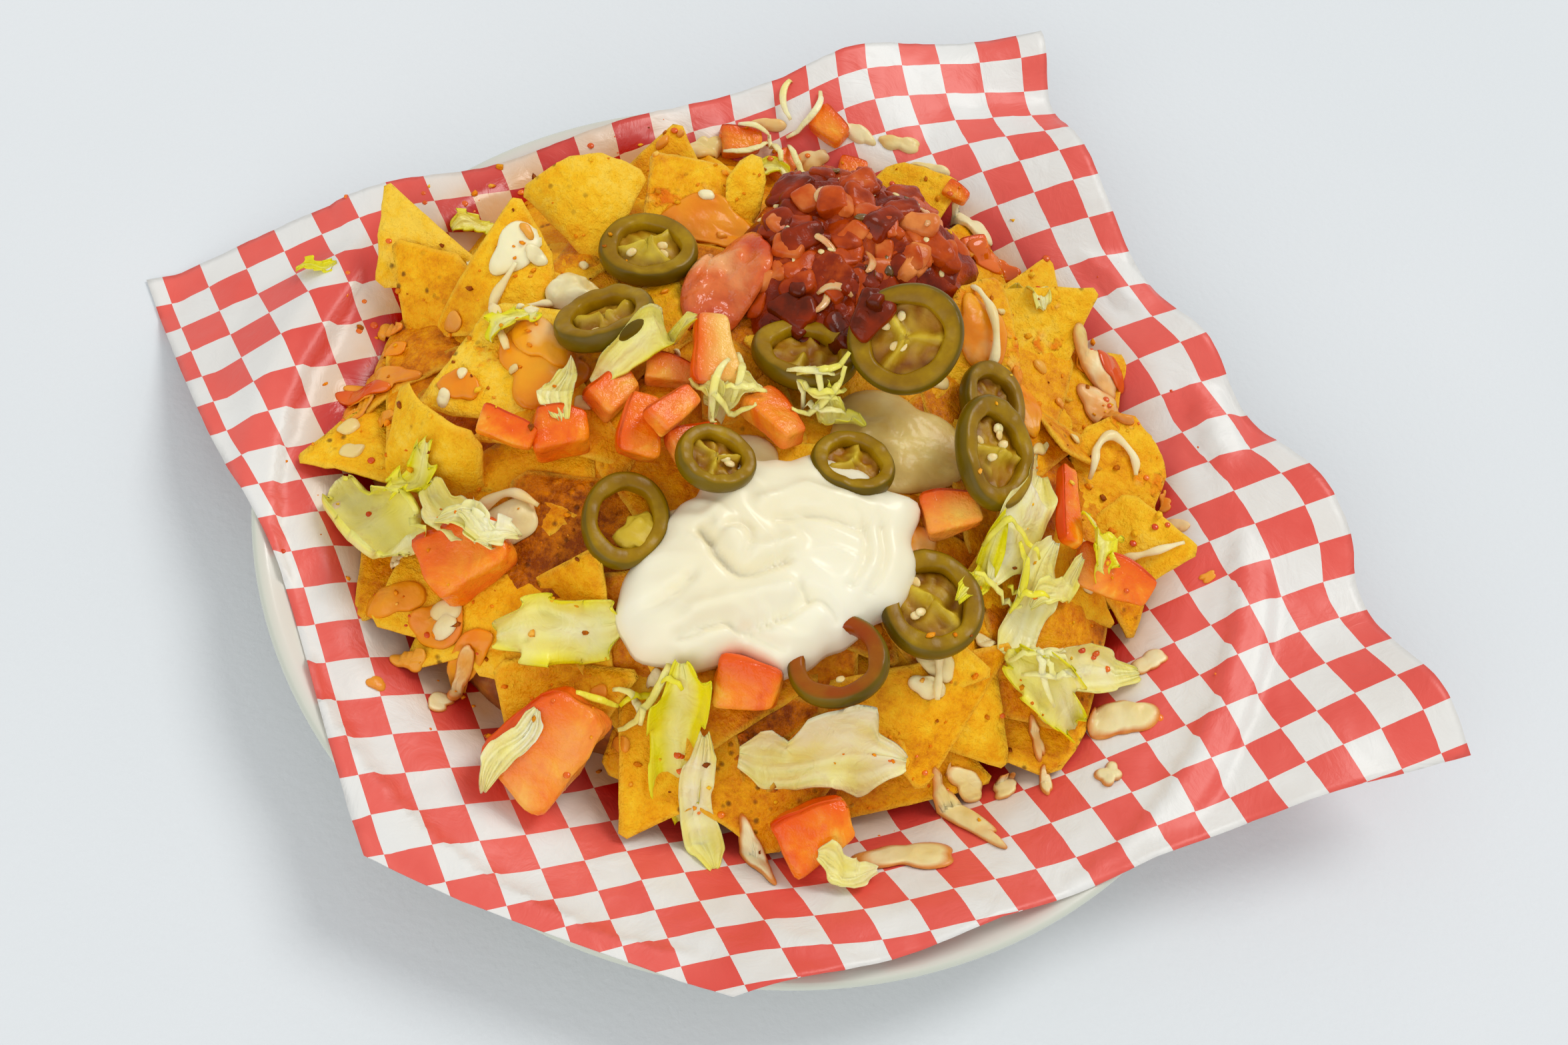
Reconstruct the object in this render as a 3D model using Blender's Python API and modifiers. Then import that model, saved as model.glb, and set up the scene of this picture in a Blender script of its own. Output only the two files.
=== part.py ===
"""Loaded nachos on a round white plate lined with a square of checked greaseproof paper.

Lengths are in millimetres and MM turns them into metres. The working origin is the middle of the plate's
foot; the last step moves everything so that the origin is under the middle of the whole. +Y is away from
the diner.
"""

import math

import bmesh
import bpy
import numpy as np
from mathutils import Matrix, Vector
from mathutils.bvhtree import BVHTree

MM = 0.001
GAP = 0.4  # air left between neighbours
SHARP = math.radians(50)  # edges that turn more than this are drawn sharp

# The plate
PLATE_RADIUS = 148.0
PLATE_HEIGHT = 28.0
WELL_RADIUS = 88.0  # the flat floor inside
WELL_FLOOR = 9.0
WALL = 4.4
FOOT_OUTER = 90.0
FOOT_INNER = 82.0
FOOT_RECESS = 1.6
PLATE_STEPS = 44

# The paper
SHEET = 304.8  # one side of the square
SHEET_TURN = math.radians(36.6)
SHEET_CENTRE = (4.9, 0.4)
SHEET_CELLS = 18
PAPER_THICK = 0.5
BRIDGE = 6.0  # how far the paper's wide squares cut the corner of the curve below
RIM_CLEAR = 1.8  # extra height where they cross the rim
CREASED = 0.97  # what fine creases leave of the sheet's length
FOLD_LEFT = 74.0  # how far the tucked corner's fold is from the left edge's middle
FOLD_FRONT = -77.0  # and from the front edge's middle
# Where the paper leaves the rim: direction in degrees, half-width, rise per millimetre out
FLAPS = ((172, 34, -0.58), (82, 40, 0.20), (-8, 30, 0.16))

# The pile of chips
PILE_CENTRE = (-9.0, 14.0)
PILE_HALF = (118.0, 108.0)
PILE_RISE = 50.0
PILE_BASE = 11.5
CHIP_THICK = 2.0
CLEAR = 1.7  # the pile's underside over the paper's wide squares

COLOURS = {
    "plate": ((0.86, 0.87, 0.84, 1), 0.25),
    "paper": ((0.80, 0.30, 0.28, 1), 0.45),
    "chips": ((0.75, 0.40, 0.05, 1), 0.55),
    "cream": ((0.93, 0.91, 0.85, 1), 0.30),
    "salsa": ((0.40, 0.05, 0.02, 1), 0.20),
    "jalapeno": ((0.22, 0.24, 0.03, 1), 0.30),
    "tomato": ((0.75, 0.12, 0.03, 1), 0.25),
    "lettuce": ((0.65, 0.75, 0.25, 1), 0.40),
    "cheese": ((0.85, 0.68, 0.38, 1), 0.40),
}


# ---------------------------------------------------------------- scene, collections, materials


def clear_scene():
    for obj in list(bpy.data.objects):
        bpy.data.objects.remove(obj, do_unlink=True)


def collection(name):
    made = bpy.data.collections.new(name)
    bpy.context.scene.collection.children.link(made)
    return made


def material(kind):
    name = f"{kind}_finish"
    if name in bpy.data.materials:
        return bpy.data.materials[name]
    made = bpy.data.materials.new(name)
    made.use_nodes = True
    colour, roughness = COLOURS[kind]
    shader = made.node_tree.nodes["Principled BSDF"]
    shader.inputs["Base Color"].default_value = colour
    shader.inputs["Roughness"].default_value = roughness
    shader.inputs["Metallic"].default_value = 0.0
    return made


def finished(bm, name, kind):
    """Puts a bmesh, in millimetres, into the nachos collection as an object in metres."""
    bmesh.ops.scale(bm, vec=(MM, MM, MM), verts=bm.verts)
    mesh = bpy.data.meshes.new(name)
    bm.to_mesh(mesh)
    bm.free()
    obj = bpy.data.objects.new(name, mesh)
    mesh.materials.append(material(kind))
    NACHOS.objects.link(obj)
    mesh.shade_smooth()
    mesh.set_sharp_from_angle(angle=SHARP)
    return obj


def evaluated_tree(obj):
    """The object's surface, modifiers included, for ray casts in metres."""
    bpy.context.view_layer.update()
    return BVHTree.FromObject(obj, bpy.context.evaluated_depsgraph_get())


# ---------------------------------------------------------------- plate


def well(r):
    """Height of the plate's upper face at radius r: a flat floor that sweeps up to the rim."""
    t = min(max((r - WELL_RADIUS) / (PLATE_RADIUS - 4 - WELL_RADIUS), 0.0), 1.0)
    return WELL_FLOOR + (PLATE_HEIGHT - WELL_FLOOR) * t**1.5


def make_plate():
    """A turned profile, from the middle of the well over the rolled rim and down the outside to the foot."""
    sweep = [WELL_RADIUS + (PLATE_RADIUS - 4 - WELL_RADIUS) * k / 4 for k in range(5)]
    profile = [(0.0, WELL_FLOOR)] + [(r, well(r)) for r in sweep]
    for degrees in (60, 0, -60):  # the rolled edge
        a = math.radians(degrees)
        profile.append((PLATE_RADIUS - 2 + 2 * math.cos(a), PLATE_HEIGHT - 1.2 + 2 * math.sin(a)))
    profile += [(r, well(r) - WALL) for r in (132.0, 112.0)]
    profile += [(FOOT_OUTER + 3, 2.6), (FOOT_OUTER, 0.0), (FOOT_INNER, 0.0)]
    profile += [(FOOT_INNER - 2, FOOT_RECESS), (0.0, FOOT_RECESS)]
    bm = bmesh.new()
    line = [bm.verts.new((r, 0, z)) for r, z in profile]
    for a, b in zip(line, line[1:]):
        bm.edges.new((a, b))
    plate = finished(bm, "plate", "plate")
    turn = plate.modifiers.new("turn", "SCREW")
    turn.steps = turn.render_steps = PLATE_STEPS
    turn.use_merge_vertices = True
    turn.merge_threshold = 1e-5
    turn.use_smooth_shade = True
    return plate


# ---------------------------------------------------------------- paper


def paper_height(x, y):
    """Underside of the paper: it follows the well, crosses the rim and runs on as flaps with slack waves.
    Its squares are wide, so it bridges the curve below by BRIDGE."""
    r = math.hypot(x, y)
    z = well(r + BRIDGE) + GAP
    out = max(r - (PLATE_RADIUS + BRIDGE), 0.0)
    around = math.degrees(math.atan2(y, x))
    slope = 0.0
    for direction, half, rise in FLAPS:
        off = (around - direction + 180) % 360 - 180
        slope += rise * math.exp(-((off / half) ** 2))
    if r > PLATE_RADIUS - 3 * BRIDGE:
        z += RIM_CLEAR
    z += slope * out
    slack = max(r - 118, 0.0) / 60
    z += 2.2 * slack**1.5 * (1 + math.sin(math.radians(around * 9 + 40))) * 0.5
    return max(z, 0.6)


def drape(points, edges):
    """Lays flat sheet points on the plate: heights come from paper_height, and the points slide until every
    edge of the grid has its creased length again."""
    place = np.array(points, float)
    ends = np.array(edges)
    flat = np.linalg.norm(place[ends[:, 0]] - place[ends[:, 1]], axis=1) * CREASED
    share = np.bincount(ends.ravel(), minlength=len(place))
    heights = np.array([paper_height(x, y) for x, y in place])
    for _ in range(60):
        across = place[ends[:, 1]] - place[ends[:, 0]]
        rise = heights[ends[:, 1]] - heights[ends[:, 0]]
        now = np.sqrt((across**2).sum(1) + rise**2)
        pull = across * ((now - flat) / now * 0.5)[:, None]
        move = np.zeros_like(place)
        np.add.at(move, ends[:, 0], pull)
        np.add.at(move, ends[:, 1], -pull)
        place += move / share[:, None] * 1.6
        heights = np.array([paper_height(x, y) for x, y in place])
    return [(x, y, z) for (x, y), z in zip(place, heights)]


def make_paper():
    """A thin sheet on a grid, its near left corner folded away, turned, draped and given its thickness."""
    bm = bmesh.new()
    bmesh.ops.create_grid(bm, x_segments=SHEET_CELLS, y_segments=SHEET_CELLS, size=SHEET / 2)
    left, front = -SHEET / 2, -SHEET / 2
    a = Vector((left, -FOLD_LEFT, 0))
    b = Vector((FOLD_FRONT, front, 0))
    outward = Vector((b.y - a.y, a.x - b.x, 0))
    bmesh.ops.bisect_plane(
        bm, geom=bm.verts[:] + bm.edges[:] + bm.faces[:], plane_co=a, plane_no=outward, clear_outer=True
    )
    bmesh.ops.triangulate(bm, faces=[f for f in bm.faces if len(f.verts) > 4])
    turn = Matrix.Rotation(SHEET_TURN, 4, "Z")
    bmesh.ops.transform(bm, matrix=turn, verts=bm.verts)
    bmesh.ops.translate(bm, vec=(*SHEET_CENTRE, 0), verts=bm.verts)
    bm.verts.index_update()
    flat = [v.co.xy[:] for v in bm.verts]
    edges = [(e.verts[0].index, e.verts[1].index) for e in bm.edges]
    for face in bm.faces:  # the diagonals keep each square square
        if len(face.verts) == 4:
            corner = [v.index for v in face.verts]
            edges += [(corner[0], corner[2]), (corner[1], corner[3])]
    for v, place in zip(bm.verts, drape(flat, edges)):
        v.co = place
    bmesh.ops.triangulate(bm, faces=bm.faces)
    bmesh.ops.recalc_face_normals(bm, faces=bm.faces)
    paper = finished(bm, "paper_liner", "paper")
    if paper.data.polygons[0].normal.z < 0:
        paper.data.flip_normals()
    wall = paper.modifiers.new("thickness", "SOLIDIFY")
    wall.thickness = PAPER_THICK * MM
    wall.offset = 1.0
    return paper


# ---------------------------------------------------------------- pile of chips

# Corners of the chips that stand out of the pile, and how far each bows out of flat
CHIPS = (
    ("back_left_tip", ((-137, 57, 50), (-131, 32, 29), (-94, 40, 24)), 2),
    ("back_left_low", ((-130, 42, 43), (-104, 41, 45), (-94, 22, 32), (-116, 18, 24)), 2),
    ("left_tall", ((-95, 54, 65), (-110, 18, 29), (-78, 20, 46), (-76, 42, 50)), 6),
    ("back_arch", ((-98, 65, 50), (-82, 80, 58), (-62, 82, 54), (-66, 46, 46)), 6),
    ("back_point", ((-60, 110, 51), (-75, 88, 40), (-48, 78, 34), (-45, 94, 44)), 1),
    ("back_square", ((-64, 91, 56), (-38, 92, 56), (-34, 60, 50), (-58, 58, 52)), 2),
    ("back_small", ((-40, 89, 58), (-32, 97, 62), (-25, 84, 58), (-32, 68, 42)), 1),
    ("back_right", ((-4, 112, 26), (8, 134, 32), (32, 130, 36), (24, 104, 28)), 2),
    ("right_cheesy", ((34, 66, 62), (48, 79, 58), (62, 50, 50), (40, 38, 52)), 2),
    ("right_back", ((46, 84, 44), (80, 93, 49), (75, 66, 29), (55, 56, 40)), 3),
    ("right_strip", ((56, 71, 44), (84, 52, 29), (69, 30, 38), (54, 50, 50)), 1),
    ("right_square", ((82, 46, 37), (96, 61, 34), (115, 50, 30), (111, 28, 24), (84, 16, 36)), 2),
    ("right_point", ((103, 34, 31), (127, 18, 37), (104, -2, 19), (86, 12, 28)), 2),
    ("left_flat", ((-91, 19, 56), (-68, 20, 62), (-60, -14, 56), (-96, -14, 44), (-103, -18, 52)), 3),
    ("left_stand", ((-108, -10, 52), (-106, -30, 25), (-72, -31, 27), (-80, -24, 58)), 6),
    ("left_under", ((-85, -23, 50), (-35, -20, 54), (-62, 4, 56)), 3),
    ("left_scoop", ((-44, -21, 54), (-66, -40, 34), (-42, -44, 38)), 3),
    ("left_low", ((-94, -50, 28), (-97, -74, 20), (-62, -72, 20), (-74, -54, 28)), 4),
    ("front_big", ((-80, -66, 30), (-47, -44, 46), (-27, -60, 44), (-60, -82, 25)), 3),
    ("front_under", ((-60, -78, 30), (-51, -92, 18), (-25, -89, 22), (-26, -62, 38)), 2),
    ("front_left", ((-24, -93, 16), (22, -97, 18), (4, -68, 38), (-22, -70, 32)), 2),
    ("front_tip", ((-12, -64, 44), (4, -63, 45), (-3, -78, 40)), 1),
    ("front_brown", ((0, -66, 38), (33, -66, 40), (12, -88, 25)), 1),
    ("front_point", ((28, -62, 44), (78, -31, 41), (63, -76, 22)), 2),
    ("front_right", ((64, -60, 21), (93, -42, 21), (72, -30, 38)), 1),
    ("front_last", ((18, -96, 16), (36, -92, 16), (58, -72, 18), (30, -70, 34)), 1),
)


def make_mound():
    """A ball pressed into the pile's dome above and the well's shape below, with lumps like buried chips."""
    bm = bmesh.new()
    bmesh.ops.create_uvsphere(bm, u_segments=34, v_segments=14, radius=1)
    for v in bm.verts:
        ring = min(math.hypot(v.co.x, v.co.y), 1.0)
        around = math.atan2(v.co.y, v.co.x)
        ragged = 1 + 0.03 * math.sin(5 * around + 1) + 0.025 * math.sin(9 * around)
        x = PILE_CENTRE[0] + PILE_HALF[0] * ring * ragged * math.cos(around)
        y = PILE_CENTRE[1] + PILE_HALF[1] * ring * ragged * math.sin(around)
        under = paper_height(x, y) + PAPER_THICK + CLEAR
        if v.co.z > 0.02:
            lump = 1.5 * math.sin(0.11 * x + 1) * math.sin(0.13 * y)
            z = max(PILE_BASE + PILE_RISE * (1 - min(ring, 0.999) ** 2.6) ** 0.7 + lump, under + 3)
        elif v.co.z < -0.02:
            z = under
        else:
            z = under + 1.6
        v.co = (x, y, z)
    return finished(bm, "chip_heap", "chips")


def make_chip(name, corners, bow):
    """A thin slab on three or more corners, kept off the paper, subdivided and bowed out of flat."""
    bm = bmesh.new()
    lowest = [paper_height(x, y) + PAPER_THICK + CLEAR + CHIP_THICK for x, y, z in corners]
    face = bm.faces.new([bm.verts.new((x, y, max(z, low))) for (x, y, z), low in zip(corners, lowest)])
    face.normal_update()
    if face.normal.z < 0:
        face.normal_flip()
    normal = face.normal.copy()
    middle = face.calc_center_median()
    reach = max((v.co - middle).length for v in face.verts)
    bmesh.ops.triangulate(bm, faces=bm.faces)
    bmesh.ops.subdivide_edges(bm, edges=bm.edges, cuts=1, use_grid_fill=True)
    for v in bm.verts:
        v.co += normal * bow * (1 - ((v.co - middle).length / reach) ** 2)
    bmesh.ops.solidify(bm, geom=bm.faces[:], thickness=CHIP_THICK)
    bmesh.ops.recalc_face_normals(bm, faces=bm.faces)
    bmesh.ops.scale(bm, vec=(MM, MM, MM), verts=bm.verts)
    mesh = bpy.data.meshes.new(f"chip_{name}")
    bm.to_mesh(mesh)
    bm.free()
    chip = bpy.data.objects.new(f"chip_{name}", mesh)
    mesh.materials.append(material("chips"))
    chip.hide_render = True
    chip.display_type = "WIRE"
    CUTTERS.objects.link(chip)


def make_heap():
    """The mound joined with every chip that stands out of it."""
    heap = make_mound()
    for name, corners, bow in CHIPS:
        make_chip(name, corners, bow)
    join = heap.modifiers.new("chips", "BOOLEAN")
    join.operation = "UNION"
    join.operand_type = "COLLECTION"
    join.collection = CUTTERS
    join.solver = "EXACT"
    join.use_self = True
    return heap


# ---------------------------------------------------------------- what already lies on the plate


class Pile:
    """Heights of everything laid so far, on a square grid, so that the next piece comes to rest on it."""

    REACH = 170.0
    STEP = 1.5

    def __init__(self):
        self.count = int(2 * self.REACH / self.STEP) + 1
        self.top = np.zeros((self.count, self.count))

    def cells(self, low, high):
        first = [max(int((c + self.REACH) / self.STEP), 0) for c in low]
        last = [min(int((c + self.REACH) / self.STEP) + 2, self.count) for c in high]
        for i in range(first[0], last[0]):
            for j in range(first[1], last[1]):
                yield i, j, i * self.STEP - self.REACH, j * self.STEP - self.REACH

    def add(self, obj):
        tree = evaluated_tree(obj)
        corners = [Vector(c) / MM for c in obj.bound_box]
        low = [min(c[k] for c in corners) for k in (0, 1)]
        high = [max(c[k] for c in corners) for k in (0, 1)]
        for i, j, x, y in self.cells(low, high):
            hit = tree.ray_cast(Vector((x * MM, y * MM, 1)), Vector((0, 0, -1)))[0]
            if hit is not None:
                self.top[i, j] = max(self.top[i, j], hit.z / MM)

    def at(self, x, y, spread=1):
        """The highest thing within spread cells of a point."""
        i = int(round((x + self.REACH) / self.STEP))
        j = int(round((y + self.REACH) / self.STEP))
        near = self.top[max(i - spread, 0) : i + spread + 1, max(j - spread, 0) : j + spread + 1]
        return float(near.max()) if near.size else 0.0

    def bed(self, x, y):
        """A smoothed height that clears everything near a point, for soft things that mould to it."""
        step = 3 * self.STEP
        near = [self.at(x + i * step, y + j * step, 5) for i in (-1, 0, 1) for j in (-1, 0, 1)]
        return sum(near) / len(near)

    def rest(self, bm):
        """Moves a piece up or down until it just clears what lies under it."""
        tree = BVHTree.FromBMesh(bm)
        low = [min(v.co[k] for v in bm.verts) for k in (0, 1)]
        high = [max(v.co[k] for v in bm.verts) for k in (0, 1)]
        lift = max(self.at(v.co.x, v.co.y) - v.co.z for v in bm.verts)
        for i, j, x, y in self.cells(low, high):
            hit = tree.ray_cast(Vector((x, y, -500)), Vector((0, 0, 1)))[0]
            if hit is not None:
                lift = max(lift, self.at(x, y) - hit.z)
        bmesh.ops.translate(bm, vec=(0, 0, lift + GAP), verts=bm.verts)


def leaning(x, y, lean, towards, turn):
    """A place on the pile: turned about the vertical, then leaned so that its top face looks towards a
    direction. Angles are in degrees."""
    axis = Vector((-math.sin(math.radians(towards)), math.cos(math.radians(towards)), 0))
    tilt = Matrix.Rotation(math.radians(lean), 4, axis)
    return Matrix.Translation((x, y, 0)) @ tilt @ Matrix.Rotation(math.radians(turn), 4, "Z")


def lay(bm, name, kind, pile):
    """Rests a piece on the pile, finishes it and adds it to the pile."""
    pile.rest(bm)
    obj = finished(bm, name, kind)
    pile.add(obj)
    return obj


# ---------------------------------------------------------------- jalapeno slices

# x, y, length, width, thickness, lean, towards, turn
JALAPENOS = (
    (-54, 51, 27, 25, 5.0, 8, 153, 0),
    (-57, 15, 27, 24, 5.5, 28, 150, 30),
    (-1, 24, 29, 26, 5.0, 16, 110, 10),
    (25, 31, 32, 29, 4.5, 30, -105, 60),
    (54, 33, 28, 20, 4.5, 24, 10, 100),
    (56, 8, 32, 24, 5.0, 28, -9, 105),
    (-17, -20, 21, 20, 4.5, 12, 30, 0),
    (20, -7, 22, 21, 4.5, 8, 90, 0),
    (-36, -39, 26, 23, 5.0, 14, -40, 100),
    (51, -36, 31, 27, 5.0, 3, -100, 120),
    (31, -61, 27, 25, 5.0, 20, -170, 20),
)
RING_STEPS = 14
FLESH = 0.60  # inner radius over outer radius


def make_jalapeno(number, pile):
    """A cut ring: two concentric discs bridged above and below, with a slightly barrelled skin."""
    x, y, length, width, thick, lean, towards, turn = JALAPENOS[number - 1]
    bm = bmesh.new()
    rings = []
    for share, z in ((1.0, 0.0), (1.06, 0.5), (0.98, 1.0), (FLESH, 1.0), (FLESH, 0.0)):
        rings.append([])
        for k in range(RING_STEPS):
            a = 2 * math.pi * k / RING_STEPS
            wobble = 1 + 0.03 * math.sin(2 * a + number)
            spot = (length / 2 * share * wobble * math.cos(a), width / 2 * share * wobble * math.sin(a))
            rings[-1].append(bm.verts.new((*spot, thick * z)))
    for inner, outer in zip(rings, rings[1:] + rings[:1]):
        for k in range(RING_STEPS):
            nxt = (k + 1) % RING_STEPS
            bm.faces.new((inner[k], inner[nxt], outer[nxt], outer[k]))
    bmesh.ops.recalc_face_normals(bm, faces=bm.faces)
    bmesh.ops.transform(bm, matrix=leaning(x, y, lean, towards, turn), verts=bm.verts)
    return lay(bm, f"jalapeno_{number}", "jalapeno", pile)


# ---------------------------------------------------------------- tomato pieces

# x, y, length, width, height, lean, towards, turn
TOMATOES = (
    (-27, 14, 20, 13, 9, 14, -60, 110),
    (-36, 9, 14, 9, 7, 10, -90, 5),
    (-4, 0, 18, 12, 8, 16, 60, -35),
    (-73, -27, 17, 9, 5, 18, -100, -8),
    (-59, -18, 15, 14, 12, 10, -100, 20),
    (-49, -2, 14, 11, 9, 12, -40, 60),
    (-40, -13, 18, 12, 9, 18, -60, 100),
    (-31, -10, 15, 9, 7, 16, -20, 60),
    (-23, -12, 14, 10, 6, 16, -30, 40),
    (-72, -55, 24, 20, 13, 30, -130, 35),
    (51, -8, 16, 13, 9, 16, -120, 25),
    (9, -71, 17, 15, 10, 34, -95, 5),
    (102, -1, 25, 14, 4, 24, -80, -8),
    (83, 12, 27, 8, 4, 30, 20, 100),
    (-36, -95, 31, 25, 14, 34, -95, 60),
    (38, -96, 20, 17, 12, 30, -80, 45),
)


def make_tomato(number, pile):
    """A diced wedge: a box drawn in at one end, its skin side rounded, its edges eased."""
    x, y, length, width, height, lean, towards, turn = TOMATOES[number - 1]
    bm = bmesh.new()
    bmesh.ops.create_cube(bm, size=1)
    bmesh.ops.scale(bm, vec=(length, width, height), verts=bm.verts)
    for v in bm.verts:
        if v.co.x > 0:
            v.co.y *= 0.62
            v.co.z *= 0.8
        if v.co.z < 0:
            v.co.x *= 0.86
    ease = min(width, height) * 0.16
    edges = {"offset": ease, "segments": 1, "profile": 0.5, "affect": "EDGES", "clamp_overlap": True}
    bmesh.ops.bevel(bm, geom=bm.edges[:], material=-1, **edges)
    bmesh.ops.transform(bm, matrix=leaning(x, y, lean, towards, turn), verts=bm.verts)
    return lay(bm, f"tomato_{number}", "tomato", pile)


# ---------------------------------------------------------------- lettuce

# x, y, length, width, curl, rise, lean, towards, turn
LETTUCE = (
    (-101, -46, 36, 20, 9, 3, 14, -120, -35),
    (-82, -45, 26, 13, 3, 2, 30, -110, -50),
    (-44, -68, 34, 14, 5, 3, 24, -100, 15),
    (-5, -86, 38, 13, 4, 2, 36, -90, -72),
    (6, -99, 30, 10, 3, 3, 26, -80, -65),
    (34, -79, 44, 10, 3, 1, 30, -80, 16),
    (-45, 10, 34, 9, 4, 2, 10, -80, 45),
    (-63, -10, 20, 8, 2, 1, 12, -80, 100),
    (-83, 11, 16, 7, 2, 2, 14, 170, 55),
    (70, -1, 42, 14, 4, 2, 20, 0, 78),
    (62, -22, 26, 6, 2, 2, 10, -10, 75),
    (78, -19, 34, 14, 4, 2, 24, -20, 80),
    (99, -27, 42, 13, 4, 3, 22, -40, 25),
    (90, -39, 28, 19, 7, 4, 22, -70, -15),
    (95, 5, 18, 10, 3, 3, 20, -10, -40),
)


LEAF = 1.2  # how thick a leaf is


def make_lettuce(number, pile):
    """A curled ribbon of leaf: a grid tapered to its ends, rolled across its width, let down onto the pile,
    which it follows, and given its thickness."""
    x, y, length, width, curl, rise, lean, towards, turn = LETTUCE[number - 1]
    bm = bmesh.new()
    bmesh.ops.create_grid(bm, x_segments=6, y_segments=3, size=0.5)
    for v in bm.verts:
        along, across = v.co.x * 2, v.co.y * 2
        taper = 1 - 0.45 * along**2
        v.co = (
            along * length / 2,
            across * width / 2 * taper + 1.5 * math.sin(3 * along + number),
            curl * across**2 * taper + rise * math.sin(2.5 * along + number),
        )
    bmesh.ops.transform(bm, matrix=leaning(x, y, lean, towards, turn), verts=bm.verts)
    for v in bm.verts:
        v.co.z = v.co.z * 0.5 + pile.bed(v.co.x, v.co.y)
    bmesh.ops.recalc_face_normals(bm, faces=bm.faces)
    bmesh.ops.solidify(bm, geom=bm.faces[:], thickness=LEAF)
    bmesh.ops.recalc_face_normals(bm, faces=bm.faces)
    return lay(bm, f"lettuce_{number}", "lettuce", pile)


# ---------------------------------------------------------------- melted cheese that stands alone

# x, y, length, width, height, turn: browned drops and fingers on the paper, a pale dab and a wide melt
# on the pile
CHEESE = (
    (116, -33, 19, 15, 4, 50),
    (114, -54, 9, 9, 4, 0),
    (64, -94, 25, 12, 3, 15),
    (79, -78, 31, 7, 3, -32),
    (86, 76, 21, 13, 4, -25),
    (-69, 32, 19, 14, 6, 10),
    (29, 10, 34, 28, 3, 20),
    (93, 62, 20, 13, 4, -15),
    (24, -106, 20, 6, 3, -50),
)


def make_cheese(number, pile):
    """A flattened ball with a lumpy outline, sagged onto whatever is under it."""
    x, y, length, width, height, turn = CHEESE[number - 1]
    bm = bmesh.new()
    bmesh.ops.create_uvsphere(bm, u_segments=12, v_segments=5, radius=0.5)
    turned = math.radians(turn)
    for v in bm.verts:
        around = math.atan2(v.co.y, v.co.x)
        lump = 1 + 0.12 * math.sin(3 * around + number)
        along, across = v.co.x * length * lump, v.co.y * width * lump
        px = x + along * math.cos(turned) - across * math.sin(turned)
        py = y + along * math.sin(turned) + across * math.cos(turned)
        v.co = (px, py, pile.bed(px, py) + (v.co.z + 0.5) * height)
    return lay(bm, f"cheese_{number}", "cheese", pile)


# ---------------------------------------------------------------- sour cream and salsa


def make_dollop(name, kind, pile, centre, half, rise, turn, outline, relief):
    """A soft mound whose underside is moulded to the pile. outline and relief give its edge and its top for
    an angle round it and a share of the way out."""
    bm = bmesh.new()
    bmesh.ops.create_uvsphere(bm, u_segments=26, v_segments=12, radius=1)
    turned = math.radians(turn)
    for v in bm.verts:
        ring = min(math.hypot(v.co.x, v.co.y), 1.0)
        around = math.atan2(v.co.y, v.co.x)
        reach = ring * outline(around)
        px, py = half[0] * reach * math.cos(around), half[1] * reach * math.sin(around)
        x = centre[0] + px * math.cos(turned) - py * math.sin(turned)
        y = centre[1] + px * math.sin(turned) + py * math.cos(turned)
        bed = pile.bed(x, y) + GAP
        dome = (1 - min(ring, 0.999) ** 2.4) ** 0.6
        if v.co.z > 0.02:
            z = bed + 1.8 + rise * dome + relief(around, ring)
        else:
            z = bed + (0.9 if v.co.z > -0.02 else 0.0)
        v.co = (x, y, z)
    return lay(bm, name, kind, pile)


def make_sour_cream(pile):
    """One spooned dollop with lobes at its edge, soft ridges across its top and a drip at the front."""

    def outline(around):
        drip = 0.20 * math.exp(-(((around + 0.95) / 0.2) ** 2))
        return 0.93 + 0.06 * math.sin(5 * around + 0.6) + 0.04 * math.sin(8 * around + 2) + drip

    def relief(around, ring):
        x, y = ring * math.cos(around), ring * math.sin(around)
        return (1 - ring) * (2.2 * math.sin(5.5 * y + 1.5 * math.sin(3 * x)) + 1.2 * math.sin(7 * x + 2))

    return make_dollop("sour_cream", "cream", pile, (6, -40), (42, 34), 9, -8, outline, relief)


def make_salsa(pile):
    """A spooned mound of chopped salsa, lumpy with its tomato and onion, running out at the front."""

    def outline(around):
        dent = 0.26 * math.exp(-(((around + 0.87) / 0.45) ** 2))  # where a jalapeno slice leans on it
        return 0.92 + 0.07 * math.sin(3 * around + 1) + 0.05 * math.sin(7 * around) - dent

    def relief(around, ring):
        x, y = ring * math.cos(around), ring * math.sin(around)
        return 2.4 * math.sin(7 * x + 1) * math.sin(8 * y) * (1 - 0.6 * ring)

    return make_dollop("salsa", "salsa", pile, (4, 64), (40, 37), 13, 0, outline, relief)


# ---------------------------------------------------------------- the whole, in order of assembly

clear_scene()
NACHOS = collection("nachos")
CUTTERS = collection("chip_tools")

whole = [make_plate(), make_paper(), make_heap()]
laid = Pile()
for piece in whole[1:]:
    laid.add(piece)
for number in (7, 1, 2, 3, 4, 5, 8, 9):
    whole.append(make_cheese(number, laid))
for number in (3, 5, 2):
    whole.append(make_jalapeno(number, laid))
for number in (9, 2, 3, 5, 6, 7, 8, 4, 10, 11, 1, 14, 13):
    whole.append(make_tomato(number, laid))
for number in (1, 6, 7, 8, 9, 10, 11):
    whole.append(make_jalapeno(number, laid))
for number in range(1, len(LETTUCE) + 1):
    whole.append(make_lettuce(number, laid))
for number in (12, 15, 16):
    whole.append(make_tomato(number, laid))
whole.append(make_salsa(laid))
whole.append(make_jalapeno(4, laid))
whole.append(make_sour_cream(laid))
whole.append(make_cheese(6, laid))

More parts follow.
